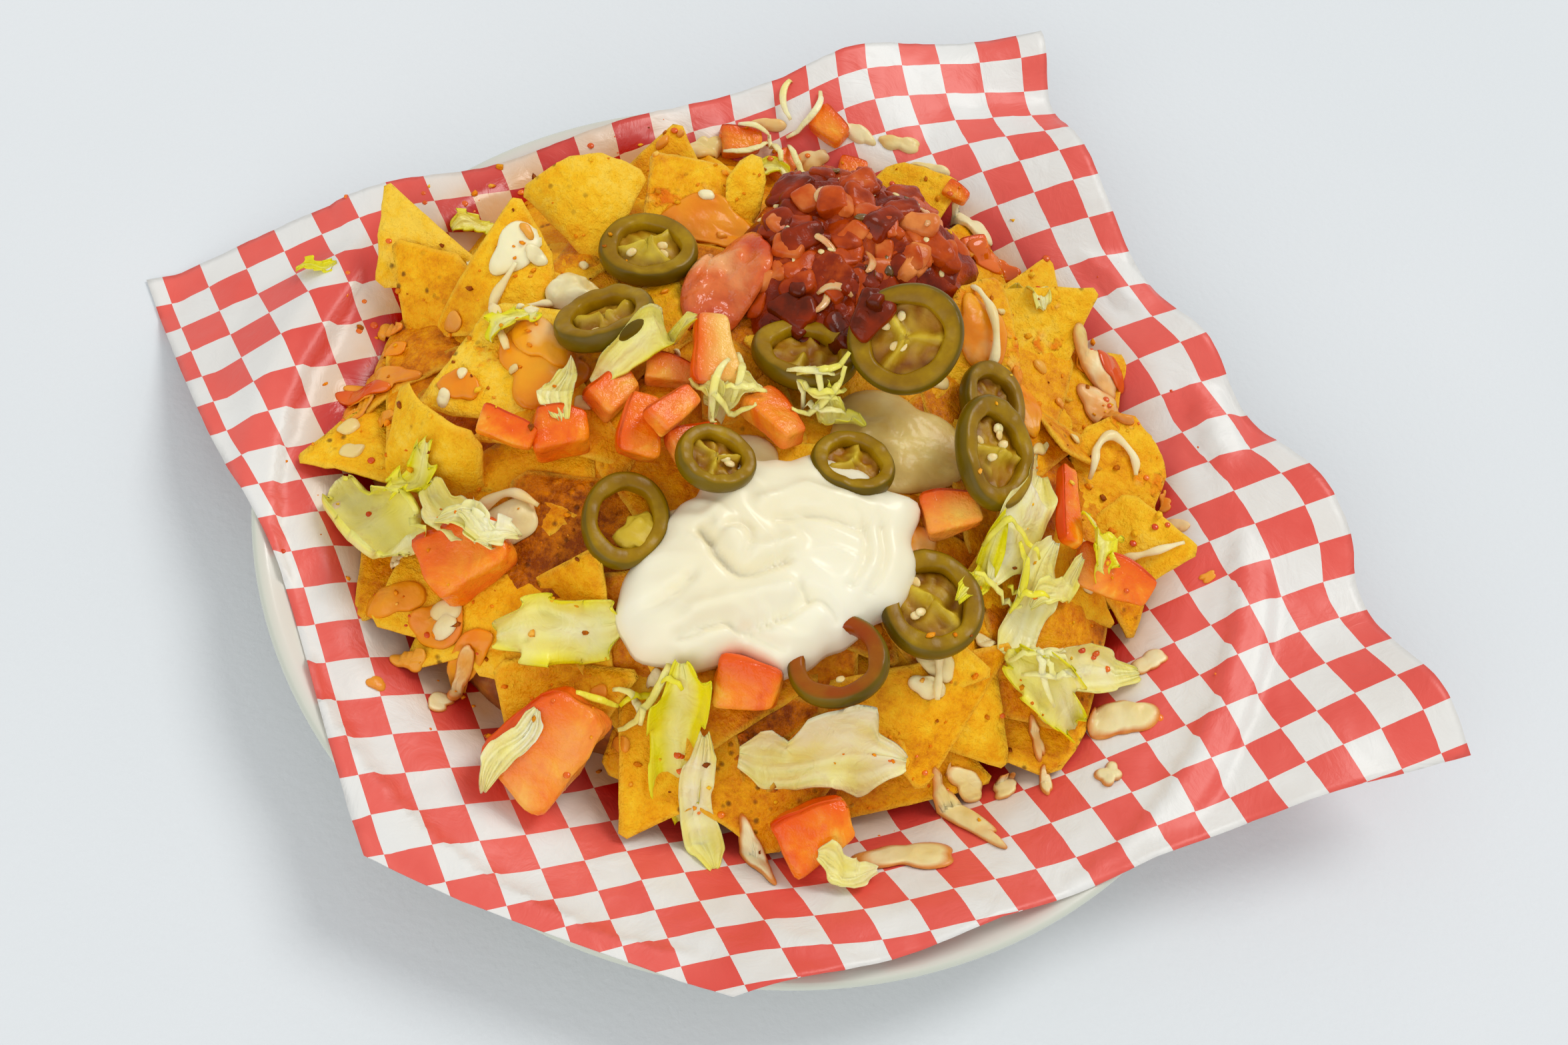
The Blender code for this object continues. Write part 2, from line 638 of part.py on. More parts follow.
bpy.context.view_layer.update()
graph = bpy.context.evaluated_depsgraph_get()
corners = [Vector(c) for piece in whole for c in piece.evaluated_get(graph).bound_box]
middle = [(min(c[k] for c in corners) + max(c[k] for c in corners)) / 2 for k in (0, 1)]
centre = bpy.data.objects.new("centre", None)
NACHOS.objects.link(centre)
centre.location = (-middle[0], -middle[1], 0)
for piece in whole + list(CUTTERS.objects):
    piece.parent = centre
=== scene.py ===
"""Loaded nachos on a white plate lined with checked greaseproof paper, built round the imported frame."""

import math
import random

import bmesh
import bpy
import numpy as np
from mathutils import Matrix, Vector, noise
from mathutils.bvhtree import BVHTree


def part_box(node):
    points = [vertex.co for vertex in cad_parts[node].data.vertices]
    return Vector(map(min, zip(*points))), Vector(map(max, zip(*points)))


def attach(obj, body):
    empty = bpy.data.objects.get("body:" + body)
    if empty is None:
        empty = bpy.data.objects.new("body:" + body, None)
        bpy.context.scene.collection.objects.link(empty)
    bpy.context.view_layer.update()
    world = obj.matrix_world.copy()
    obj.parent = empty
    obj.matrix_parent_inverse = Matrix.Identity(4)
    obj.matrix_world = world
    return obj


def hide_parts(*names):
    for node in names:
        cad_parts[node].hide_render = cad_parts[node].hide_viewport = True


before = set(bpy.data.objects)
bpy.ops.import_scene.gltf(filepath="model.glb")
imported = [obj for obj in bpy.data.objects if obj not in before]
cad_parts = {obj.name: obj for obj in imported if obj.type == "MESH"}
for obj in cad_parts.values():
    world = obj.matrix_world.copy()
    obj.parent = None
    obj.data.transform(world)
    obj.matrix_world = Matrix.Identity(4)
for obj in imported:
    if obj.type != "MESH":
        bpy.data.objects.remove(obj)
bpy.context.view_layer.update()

# ---------------------------------------------------------------- stage, lights and camera
# A pale cloth-coloured floor under a broad soft light from the upper right. All sizes below are in
# millimetres from the middle of the plate's foot, and MM turns them into metres.

MM = 0.001
plate_low, plate_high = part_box("plate")
MIDDLE = np.array([(plate_low.x + plate_high.x) / 2, (plate_low.y + plate_high.y) / 2, 0.0])
scene = bpy.context.scene


def placed(points):
    """Millimetres about the plate's middle to metres in the frame."""
    return np.asarray(points, float) * MM + MIDDLE


def tint(red, green, blue):
    """A colour as seen on a screen, 0 to 255, to the linear values that a shader takes."""
    shares = [c / 255 for c in (red, green, blue)]
    return tuple(c / 12.92 if c <= 0.04045 else ((c + 0.055) / 1.055) ** 2.4 for c in shares)


class Finish:
    """A node material. Each call adds a node and gives back its output, to hand to the next call."""

    def __init__(self, name, roughness=0.5, **sockets):
        self.made = bpy.data.materials.new(name)
        self.made.use_nodes = True
        self.tree = self.made.node_tree
        self.skin = self.tree.nodes["Principled BSDF"]
        self.place = self.tree.nodes.new("ShaderNodeTexCoord").outputs["Object"]
        self.look(Roughness=roughness, **sockets)

    def put(self, socket, value):
        if isinstance(value, bpy.types.NodeSocket):
            self.tree.links.new(value, socket)
        elif isinstance(value, tuple) and len(value) == 3 and socket.type == "RGBA":
            socket.default_value = (*value, 1.0)
        else:
            socket.default_value = value

    def look(self, **sockets):
        for name, value in sockets.items():
            self.put(self.skin.inputs[name.replace("_", " ")], value)

    def attribute(self, name):
        node = self.tree.nodes.new("ShaderNodeAttribute")
        node.attribute_name = name
        return node.outputs["Fac"]

    def noise(self, size, detail=2.0, rough=0.5, twist=0.0, at=None):
        """Fractal noise whose lumps are about size millimetres across."""
        node = self.tree.nodes.new("ShaderNodeTexNoise")
        self.put(node.inputs["Vector"], self.place if at is None else at)
        self.put(node.inputs["Scale"], 500.0 / size)
        self.put(node.inputs["Detail"], detail)
        self.put(node.inputs["Roughness"], rough)
        self.put(node.inputs["Distortion"], twist)
        return node.outputs["Fac"]

    def cells(self, size, feature="F1", at=None, uneven=1.0):
        """Distance inside cells about size millimetres across."""
        node = self.tree.nodes.new("ShaderNodeTexVoronoi")
        node.feature = feature
        self.put(node.inputs["Vector"], self.place if at is None else at)
        self.put(node.inputs["Scale"], 1000.0 / size)
        self.put(node.inputs["Randomness"], uneven)
        return node.outputs["Distance"]

    def stretched(self, x, y, z):
        node = self.tree.nodes.new("ShaderNodeVectorMath")
        node.operation = "MULTIPLY"
        self.put(node.inputs[0], self.place)
        node.inputs[1].default_value = (x, y, z)
        return node.outputs[0]

    def ramp(self, value, *stops):
        """Colours or greys at their places from 0 to 1."""
        node = self.tree.nodes.new("ShaderNodeValToRGB")
        row = node.color_ramp.elements
        while len(row) < len(stops):
            row.new(0.5)
        for element, (where, colour) in zip(row, stops):
            element.position = where
            colour = (colour,) * 3 if isinstance(colour, (int, float)) else colour
            element.color = (*colour, 1.0)
        self.put(node.inputs["Fac"], value)
        return node.outputs["Color"]

    def mix(self, share, a, b, how="MIX"):
        node = self.tree.nodes.new("ShaderNodeMix")
        node.data_type = "RGBA"
        node.blend_type = how
        self.put(node.inputs[0], share)
        self.put(node.inputs[6], a)
        self.put(node.inputs[7], b)
        return node.outputs[2]

    def maths(self, how, a, b=0.0, c=0.5):
        node = self.tree.nodes.new("ShaderNodeMath")
        node.operation = how
        self.put(node.inputs[0], a)
        self.put(node.inputs[1], b)
        self.put(node.inputs[2], c)
        return node.outputs[0]

    def bump(self, height, deep, over=None):
        """Relief deep millimetres tall from a 0 to 1 height, on top of an earlier bump."""
        node = self.tree.nodes.new("ShaderNodeBump")
        self.put(node.inputs["Strength"], 1.0)
        self.put(node.inputs["Distance"], deep * MM)
        self.put(node.inputs["Height"], height)
        if over is not None:
            self.put(node.inputs["Normal"], over)
        self.put(self.skin.inputs["Normal"], node.outputs["Normal"])
        return node.outputs["Normal"]


floor_finish = Finish("floor_cloth", 0.9)
floor_weave = floor_finish.noise(1.2, 3)
floor_tone = floor_finish.ramp(floor_finish.noise(90, 2), (0.3, (0.75, 0.795, 0.83)), (0.7, (0.775, 0.815, 0.85)))
floor_finish.look(Base_Color=floor_tone, Specular_IOR_Level=0.1)
floor_finish.bump(floor_weave, 0.15)
bm = bmesh.new()
bmesh.ops.create_grid(bm, x_segments=1, y_segments=1, size=40)
floor_mesh = bpy.data.meshes.new("floor")
bm.to_mesh(floor_mesh)
bm.free()
floor = bpy.data.objects.new("floor", floor_mesh)
floor_mesh.materials.append(floor_finish.made)
scene.collection.objects.link(floor)

world = bpy.data.worlds.new("room")
world.use_nodes = True
world.node_tree.nodes["Background"].inputs["Color"].default_value = (1.0, 0.995, 0.985, 1)
world.node_tree.nodes["Background"].inputs["Strength"].default_value = 0.6
scene.world = world
scene.view_settings.view_transform = "Standard"

# name, place in mm that it shines from, strength, soft angle in degrees, colour
LIGHTS = (
    ("window", (420, 560, 900), 1.12, 26, (1.0, 0.985, 0.955)),
    ("front", (-240, -900, 520), 0.9, 60, (1.0, 0.99, 0.97)),
)
for name, place, strength, softness, colour in LIGHTS:
    lamp = bpy.data.lights.new(name, "SUN")
    lamp.energy = strength
    lamp.angle = math.radians(softness)
    lamp.color = colour
    light = bpy.data.objects.new(name, lamp)
    light.location = placed(place)
    light.rotation_euler = (Vector(placed((0, 0, 40))) - light.location).to_track_quat("-Z", "Y").to_euler()
    scene.collection.objects.link(light)

lens = bpy.data.cameras.new("camera")
lens.lens = 48.98
lens.sensor_width = 36
lens.clip_start = 0.01
camera = bpy.data.objects.new("camera", lens)
look = Matrix.Rotation(math.radians(31.3), 4, "X") @ Matrix.Rotation(math.radians(16.0), 4, "Z")
camera.matrix_world = Matrix.Translation(placed((6.1, -330.2, 559.8))) @ look
scene.collection.objects.link(camera)
scene.camera = camera

# ---------------------------------------------------------------- plate
# A round white glazed plate: a turned profile with a flat well, a sweeping wall and a rolled lip.
# The glaze is slightly warm, with a grey-green edge where it thins over the lip.

RIM = 148.0
RIM_TOP = 28.0
WELL = 88.0
WELL_FLOOR = 9.0
WALL = 4.4


def well(r):
    """Height of the plate's upper face at radius r."""
    t = np.clip((np.asarray(r, float) - WELL) / (RIM - 4 - WELL), 0, 1)
    return WELL_FLOOR + (RIM_TOP - WELL_FLOOR) * t**1.5


laid = []  # a ray-cast tree and a box for every piece made so far, to rest the next one on


def made(name, points, faces, finish, stands_for=(), values=None):
    """A smooth mesh piece from millimetre points; values are numbers per point that its finish reads."""
    mesh = bpy.data.meshes.new(name)
    mesh.from_pydata(placed(points).tolist(), [], faces)
    for key, numbers in (values or {}).items():
        layer = mesh.attributes.new(key, "FLOAT", "POINT")
        layer.data.foreach_set("value", np.asarray(numbers, np.float32))
    mesh.shade_smooth()
    mesh.materials.append(finish.made)
    obj = bpy.data.objects.new(name, mesh)
    scene.collection.objects.link(obj)
    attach(obj, "root")
    if stands_for:
        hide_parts(*stands_for)
    return obj


def lay(points, faces):
    """Adds a shape to what the next pieces can rest on."""
    points = np.asarray(points, float)
    tree = BVHTree.FromPolygons(points.tolist(), faces)
    laid.append((tree, points.min(0), points.max(0)))


def top(x, y, default=0.0):
    """Height of the highest thing laid so far at a place."""
    best = default
    for tree, low, high in laid:
        if low[0] <= x <= high[0] and low[1] <= y <= high[1] and high[2] > best:
            hit = tree.ray_cast(Vector((x, y, 300)), Vector((0, 0, -1)))[0]
            if hit is not None and hit.z > best:
                best = hit.z
    return best


def bed(x, y, reach=3.0):
    """A smoothed height for soft things that mould themselves to what is under them."""
    near = [top(x + i * reach, y + j * reach) for i in (-1, 0, 1) for j in (-1, 0, 1)]
    return 0.5 * max(near) + 0.5 * sum(near) / 9


glaze = Finish("glazed_white", 0.16, Coat_Weight=0.4, Coat_Roughness=0.06)
glaze_tone = glaze.mix(
    glaze.attribute("lip"),
    glaze.ramp(glaze.noise(60, 3), (0.35, tint(226, 222, 211)), (0.65, tint(233, 230, 221))),
    tint(196, 203, 188),
)
glaze.look(Base_Color=glaze_tone)
glaze.bump(glaze.noise(14, 2), 0.05)

profile = [(0.0, WELL_FLOOR)]
profile += [(r, float(well(r))) for r in np.r_[20:86:6j, 88:144:22j]]
for degrees in range(75, -90, -15):  # the rolled edge
    a = math.radians(degrees)
    profile.append((RIM - 2 + 2 * math.cos(a), RIM_TOP - 1.2 + 2 * math.sin(a)))
profile += [(r, float(well(r)) - WALL) for r in np.r_[141:96:12j]]
profile += [(93.5, 3.4), (92.0, 1.6), (90.6, 0.5), (89.6, 0.0), (82.6, 0.0), (81.6, 0.4), (80.0, 1.6), (0.0, 1.6)]
bm = bmesh.new()
line = [bm.verts.new((r, 0, z)) for r, z in profile]
rings = [bm.edges.new(pair) for pair in zip(line, line[1:])]
bmesh.ops.spin(
    bm, geom=line + rings, cent=(0, 0, 0), axis=(0, 0, 1), angle=2 * math.pi, steps=160, use_merge=True
)
bmesh.ops.remove_doubles(bm, verts=bm.verts, dist=1e-4)
bmesh.ops.recalc_face_normals(bm, faces=bm.faces)


def taken(bm):
    """The points and faces of a bmesh, which is then let go."""
    bm.verts.index_update()
    points = np.array([v.co for v in bm.verts], float)
    faces = [[v.index for v in f.verts] for f in bm.faces]
    bm.free()
    return points, faces


points, faces = taken(bm)
across = np.hypot(points[:, 0], points[:, 1])
lip = np.clip((across - 145.6) / 1.6, 0, 1) * 0.75
made("plate_glazed", points, faces, glaze, ["plate"], {"lip": lip})
lay(points, faces)

# ---------------------------------------------------------------- paper
# A 12 inch square of waxed paper with half-inch red and white checks, one corner folded under. It
# lies in the well, crosses the rim and hangs in slack waves. Grease has darkened it round the food, and part of that
# darkening is painted shade from the pile.

SHEET = 304.8
CHECK = 12.7
SHEET_CELLS = 132
PAPER_THICK = 0.3
# Where points of the flat sheet lie: flat x, y, then place x, y, z
PINS = (
    (-147, 141, -195, 25, 0),
    (-84, 128, -137, 46, 29.5),
    (-58, 141, -123, 63, 37),
    (30, 141, -57, 122, 32),
    (94, 141, -9, 164, 36),
    (145, 77, 66, 142, 34),
    (145, 1, 120, 84, 28),
    (145, -75, 166, 25, 31),
    (145, -138, 204, -24, 37),
    (30, -126, 108, -84, 27),
    (-33, -126, 55, -116, 30),
    (-58, -113, 24, -118, 23),
    (-109, -88, -30, -128, 23),
    (-122, -75, -48, -126, 25),
    (-147, -37, -90, -109, 25),
    (-147, 27, -124, -59, 26),
    (-147, 77, -155, -27, 24),
    (94, -88, 135, -16, 23),
    (119, -37, 123, 39, 23),
    (152.4, 152.4, 44, 203, 32),
    (-77, -152.4, 24, -150, 33),
    (60, 152.4, -34, 152, 38),
    (152.4, -66, 173, 38, 33),
)
# The front edge is turned under along this line: flat x, and the flat y of the fold
TURNED_UNDER = ((-152.4, -152.4), (-77, -155), (-32, -146), (0, -139), (50, -134.5), (83, -135), (144, -141), (153, -142))
PINNED_FLAT = 62.0  # inside this radius the sheet just lies in the well
SHEET_TURN = math.radians(36.6)
SHEET_CENTRE = np.array([4.9, 0.4])


def turned_flat(flat):
    """Flat sheet points turned and moved to where the sheet lies, before it is draped."""
    c, s = math.cos(SHEET_TURN), math.sin(SHEET_TURN)
    return flat @ np.array([[c, s], [-s, c]]) + SHEET_CENTRE


def draped(flat):
    """Bends the flat sheet through its pins with a thin-plate spline, then keeps it on the plate."""
    pins = np.array(PINS, float)
    circle = np.radians(np.arange(0, 360, 40))
    held = np.c_[np.cos(circle), np.sin(circle)] * PINNED_FLAT
    held = np.vstack([held, held * 0.3])
    source = np.vstack([pins[:, :2], held])
    settled = turned_flat(held)
    shift = np.vstack(
        [
            pins[:, 2:] - np.c_[turned_flat(pins[:, :2]), np.zeros(len(pins))],
            np.c_[(settled - SHEET_CENTRE) * -0.01, np.full(len(held), WELL_FLOOR)],
        ]
    )

    def kernel(a, b):
        apart = np.linalg.norm(a[:, None] - b[None], axis=2)
        return apart**2 * np.log(apart + 1e-9)

    count = len(source)
    plain = np.c_[np.ones(count), source]
    system = np.zeros((count + 3, count + 3))
    system[:count, :count] = kernel(source, source) + 40 * np.eye(count)
    system[:count, count:] = plain
    system[count:, :count] = plain.T
    weights = np.linalg.solve(system, np.vstack([shift, np.zeros((3, 3))]))
    moved = kernel(flat, source) @ weights[:count] + np.c_[np.ones(len(flat)), flat] @ weights[count:]
    return np.c_[turned_flat(flat) + moved[:, :2], moved[:, 2]]


def ripple(flat):
    """Slack waves and crumples, in millimetres, over the flat sheet."""
    rise = np.zeros(len(flat))
    for index, (x, y) in enumerate(flat):
        spot = Vector((x, y, 0))
        broad = noise.noise(spot / 38)
        crease = 1 - 2 * abs(noise.noise(spot / 17 + Vector((9, 3, 1))))
        fine = 1 - 2 * abs(noise.noise(spot / 7 + Vector((2, 7, 5))))
        rise[index] = 0.9 * broad + 1.0 * crease * abs(broad * 2) + 0.4 * fine
    right = np.clip((flat[:, 0] - 96) / 56, 0, 1) ** 1.5
    back = np.clip((flat[:, 1] - 96) / 56, 0, 1) ** 1.5
    front = np.clip((-flat[:, 1] - 96) / 56, 0, 1) ** 1.5
    rise += 5.5 * right * np.sin(flat[:, 1] / 10.5 + 0.6 * np.sin(flat[:, 1] / 23))
    rise += 2.5 * back * np.sin(flat[:, 0] / 13 + 1) * (flat[:, 0] > -90)
    rise += 2.2 * front * np.sin(flat[:, 0] / 9 + 2)
    return rise


bm = bmesh.new()
bmesh.ops.create_grid(bm, x_segments=SHEET_CELLS, y_segments=SHEET_CELLS, size=SHEET / 2)
turned_x, turned_y = zip(*TURNED_UNDER)
for v in bm.verts:
    near = float(np.interp(v.co.x, turned_x, turned_y))
    v.co.y = near + (v.co.y + SHEET / 2) / SHEET * (SHEET / 2 - near)
fold_left, fold_front = Vector((-152.4, -74, 0)), Vector((-77, -152.4, 0))
outward = Vector((fold_front.y - fold_left.y, fold_left.x - fold_front.x, 0))
bmesh.ops.bisect_plane(
    bm, geom=bm.verts[:] + bm.edges[:] + bm.faces[:], plane_co=fold_left, plane_no=outward, clear_outer=True
)
flat_points, paper_faces = taken(bm)
flat_sheet = flat_points[:, :2]
sheet_points = draped(flat_sheet)
sheet_points[:, 2] += ripple(flat_sheet)
across = np.hypot(sheet_points[:, 0], sheet_points[:, 1])
hanging = np.maximum(29.2 - 0.75 * np.maximum(across - RIM - 2.5, 0), 0.5)
under = np.where(across < 141, well(across) + 0.45, hanging)
sheet_points[:, 2] = np.maximum(sheet_points[:, 2], under)
settle = np.clip((132 - across) / 30, 0, 1)
snug = well(across) + 0.5 + np.clip(ripple(flat_sheet), 0, 4) * 0.5
sheet_points[:, 2] += (snug - sheet_points[:, 2]) * settle

PILE_CENTRE = np.array([-9.0, 14.0])
PILE_HALF = np.array([118.0, 108.0])
ring = np.linalg.norm((sheet_points[:, :2] - PILE_CENTRE) / PILE_HALF, axis=1)
# darker towards the pile: partly real grease, partly painted shade cast by the pile
soaked = np.clip((1.17 - ring) / 0.16, 0, 1)

paper = Finish("checked_paper", 0.42, Coat_Weight=0.15, Coat_Roughness=0.25)
sheet_place = paper.tree.nodes.new("ShaderNodeUVMap").outputs["UV"]
checks = paper.tree.nodes.new("ShaderNodeTexChecker")
checks.inputs["Scale"].default_value = 1.0
paper.put(checks.inputs["Vector"], sheet_place)
# near the food the checks turn deep red and tan: partly grease, partly painted shade
soak = paper.maths("MULTIPLY", paper.attribute("soaked"), paper.ramp(paper.noise(16, 3), (0.3, 0.5), (0.55, 1.0)))
blotch = paper.ramp(paper.noise(30, 4, 0.6), (0.3, 0.0), (0.7, 1.0))
red = paper.mix(blotch, tint(240, 104, 92), tint(228, 78, 66))
red = paper.mix(soak, red, tint(186, 14, 4))
white = paper.mix(blotch, tint(236, 237, 235), tint(229, 227, 222))
white = paper.mix(soak, white, tint(222, 178, 130))
paper.look(Base_Color=paper.mix(checks.outputs["Fac"], red, white))
paper.look(Roughness=paper.ramp(soak, (0.0, 0.45), (1.0, 0.22)))
creases = paper.bump(paper.cells(13, "DISTANCE_TO_EDGE"), 0.35)
creases = paper.bump(paper.noise(7, 4, 0.6, 1.5), 0.5, creases)

points = np.asarray(sheet_points, float)
obj = made("checked_paper", points, paper_faces, paper, ["paper_liner"], {"soaked": soaked})
uv = obj.data.uv_layers.new(name="sheet")
cells = (flat_sheet / CHECK) * np.array([1, 1]) + np.array([-7.4, 5.9]) + np.array([40, 40])
for loop in obj.data.loops:
    uv.data[loop.index].uv = cells[loop.vertex_index]
wall = obj.modifiers.new("thickness", "SOLIDIFY")
wall.thickness = PAPER_THICK * MM
wall.offset = 1.0
lay(points, paper_faces)

# ---------------------------------------------------------------- the heart of the pile
# The broken, sauce-soaked chips inside the pile, seen only in its gaps: one lumpy mound in dark orange-brown,
# which is painted shade for chips deep in the pile, a little smaller than the solid that it stands for.

PILE_RISE = 50.0
PILE_BASE = 11.5


def dome(x, y):
    """Height of the pile's core over the table."""
    share = min(math.hypot((x - PILE_CENTRE[0]) / PILE_HALF[0], (y - PILE_CENTRE[1]) / PILE_HALF[1]), 0.999)
    return PILE_BASE + PILE_RISE * (1 - share**2.6) ** 0.7


heart = Finish("soaked_crumb_in_painted_shade", 0.55, Subsurface_Weight=0.1, Subsurface_Scale=0.002)
# dark browns here are painted shade for the chips hidden in the pile's gaps
heart_tone = heart.ramp(
    heart.noise(9, 4, 0.65),
    (0.30, tint(96, 38, 8)),
    (0.48, tint(168, 88, 20)),
    (0.62, tint(206, 128, 32)),
    (0.8, tint(222, 160, 66)),
)
heart.look(Base_Color=heart_tone)
heart.bump(heart.noise(5, 4, 0.6), 1.6)
bm = bmesh.new()
bmesh.ops.create_uvsphere(bm, u_segments=96, v_segments=40, radius=1)
for v in bm.verts:
    share = min(math.hypot(v.co.x, v.co.y), 1.0)
    around = math.atan2(v.co.y, v.co.x)
    ragged = 0.965 * (1 + 0.03 * math.sin(5 * around + 1) + 0.025 * math.sin(9 * around))
    x = PILE_CENTRE[0] + PILE_HALF[0] * share * ragged * math.cos(around)
    y = PILE_CENTRE[1] + PILE_HALF[1] * share * ragged * math.sin(around)
    floor_z = float(well(math.hypot(x, y))) + 0.9
    lumps = 2.2 * noise.noise(Vector((x, y, 0)) / 13) + 1.2 * noise.noise(Vector((x, y, 4)) / 5)
    z = max(dome(x, y) - 5 + lumps, floor_z + 1.5) if v.co.z > 0 else floor_z
    v.co = (x, y, z)
heart_points, heart_faces = taken(bm)
made("pile_heart", heart_points, heart_faces, heart)
lay(heart_points, heart_faces)

# ---------------------------------------------------------------- chips
# Corn tortilla chips about 1.7 mm thick, bowed and blistered by frying, each on its own corners.
# They are golden with brown flecks and deeper where they are soaked; their tone is also deeper where they lie in shade,
# which is painted shade, and they are paler at the edge, which is a painted highlight.

CHIP_THICK = 1.7
CHIP_STEP = 1.5
# name, corners, bow, tone: 0 is pale gold, 1 deep orange-brown, deeper for browner chips and, as painted shade, for
# chips in shade
CHIPS = (
    ("back_left_tip", ((-137, 57, 50), (-131, 32, 29), (-94, 40, 24)), 2, 0.12),
    ("back_left_low", ((-130, 42, 43), (-104, 41, 45), (-94, 22, 32), (-116, 18, 24)), 2, 0.45),
    ("left_tall", ((-95, 54, 65), (-110, 18, 29), (-78, 20, 46), (-76, 42, 50)), 6, 0.38),
    ("back_arch", ((-98, 65, 50), (-82, 80, 58), (-62, 82, 54), (-66, 46, 46)), 6, 0.2),
    ("back_point", ((-60, 110, 51), (-75, 88, 40), (-48, 78, 34), (-45, 94, 44)), 1, 0.5),
    ("back_square", ((-64, 91, 56), (-38, 92, 56), (-34, 60, 50), (-58, 58, 52)), 2, 0.45),
    ("back_small", ((-40, 89, 58), (-32, 97, 62), (-25, 84, 58), (-32, 68, 42)), 1, 0.3),
    ("back_right", ((-4, 112, 26), (8, 134, 32), (32, 130, 36), (24, 104, 28)), 2, 0.4),
    ("right_cheesy", ((34, 66, 62), (48, 79, 58), (62, 50, 50), (40, 38, 52)), 2, 0.45),
    ("right_back", ((46, 84, 44), (80, 93, 49), (75, 66, 29), (55, 56, 40)), 3, 0.35),
    ("right_strip", ((56, 71, 44), (84, 52, 29), (69, 30, 38), (54, 50, 50)), 1, 0.4),
    ("right_square", ((82, 46, 37), (96, 61, 34), (115, 50, 30), (111, 28, 24), (84, 16, 36)), 2, 0.3),
    ("right_point", ((103, 34, 31), (127, 18, 37), (104, -2, 19), (86, 12, 28)), 2, 0.3),
    ("left_flat", ((-91, 19, 56), (-68, 20, 62), (-60, -15, 54), (-103, -18, 49)), 3, 0.15),
    ("left_stand", ((-108, -10, 52), (-106, -30, 25), (-72, -31, 27), (-80, -24, 58)), 6, 0.3),
    ("left_under", ((-85, -23, 50), (-35, -20, 54), (-62, 4, 56)), 3, 0.55),
    ("left_scoop", ((-44, -21, 54), (-66, -40, 34), (-42, -44, 38)), 3, 0.5),
    ("left_low", ((-94, -50, 28), (-97, -74, 20), (-62, -72, 20), (-74, -54, 28)), 4, 0.35),
    ("front_big", ((-80, -66, 30), (-47, -44, 46), (-27, -60, 44), (-60, -82, 25)), 3, 0.35),
    ("front_under", ((-60, -78, 30), (-51, -92, 18), (-25, -89, 22), (-26, -62, 38)), 2, 0.5),
    ("front_left", ((-24, -93, 16), (22, -97, 18), (4, -68, 38), (-22, -70, 32)), 2, 0.5),
    ("front_tip", ((-12, -64, 44), (4, -63, 45), (-3, -78, 40)), 1, 0.6),
    ("front_brown", ((0, -66, 38), (33, -66, 40), (12, -88, 25)), 1, 0.8),
    ("front_point", ((28, -62, 44), (78, -31, 41), (63, -76, 22)), 2, 0.5),
    ("front_right", ((64, -60, 21), (93, -42, 21), (72, -30, 38)), 1, 0.6),
    ("front_last", ((18, -96, 16), (36, -92, 16), (58, -72, 18), (30, -70, 34)), 1, 0.7),
)


# the ones with orange cheese baked onto them
CHEESY = ("right_cheesy", "right_strip", "right_square", "left_flat", "front_brown", "left_under", "back_square", "right_back")


class Joined:
    """Shapes gathered into one piece, with numbers per point for its finish."""

    def __init__(self):
        self.points = []
        self.faces = []
        self.values = {}
        self.count = 0

    def add(self, points, faces, **values):
        points = np.asarray(points, float)
        self.points.append(points)
        self.faces += [[i + self.count for i in face] for face in faces]
        for key, numbers in values.items():
            self.values.setdefault(key, []).append(np.broadcast_to(np.asarray(numbers, float), len(points)))
        self.count += len(points)

    def piece(self, name, finish, slot, stands_for=()):
        values = {key: np.concatenate(parts) for key, parts in self.values.items()}
        return made(name, np.vstack(self.points), self.faces, finish, stands_for, values)


def slab(place, faces, normal, thick, rounded):
    """A sheet given thickness downwards, its rim eased by rounded and closed with a band of faces."""
    used = {}
    for face in faces:
        for a, b in zip(face, face[1:] + face[:1]):
            used[(a, b)] = used.get((a, b), 0) + 1
    rim = [(a, b) for a, b in used if (b, a) not in used]
    on_rim = np.zeros(len(place))
    on_rim[[a for a, b in rim]] = 1
    upper = place - normal * (rounded * on_rim)[:, None]
    lower = place - normal * (thick - rounded * on_rim)[:, None]
    count = len(place)
    whole = list(faces) + [[i + count for i in reversed(face)] for face in faces]
    whole += [[b, a, a + count, b + count] for a, b in rim]
    return np.vstack([upper, lower]), whole


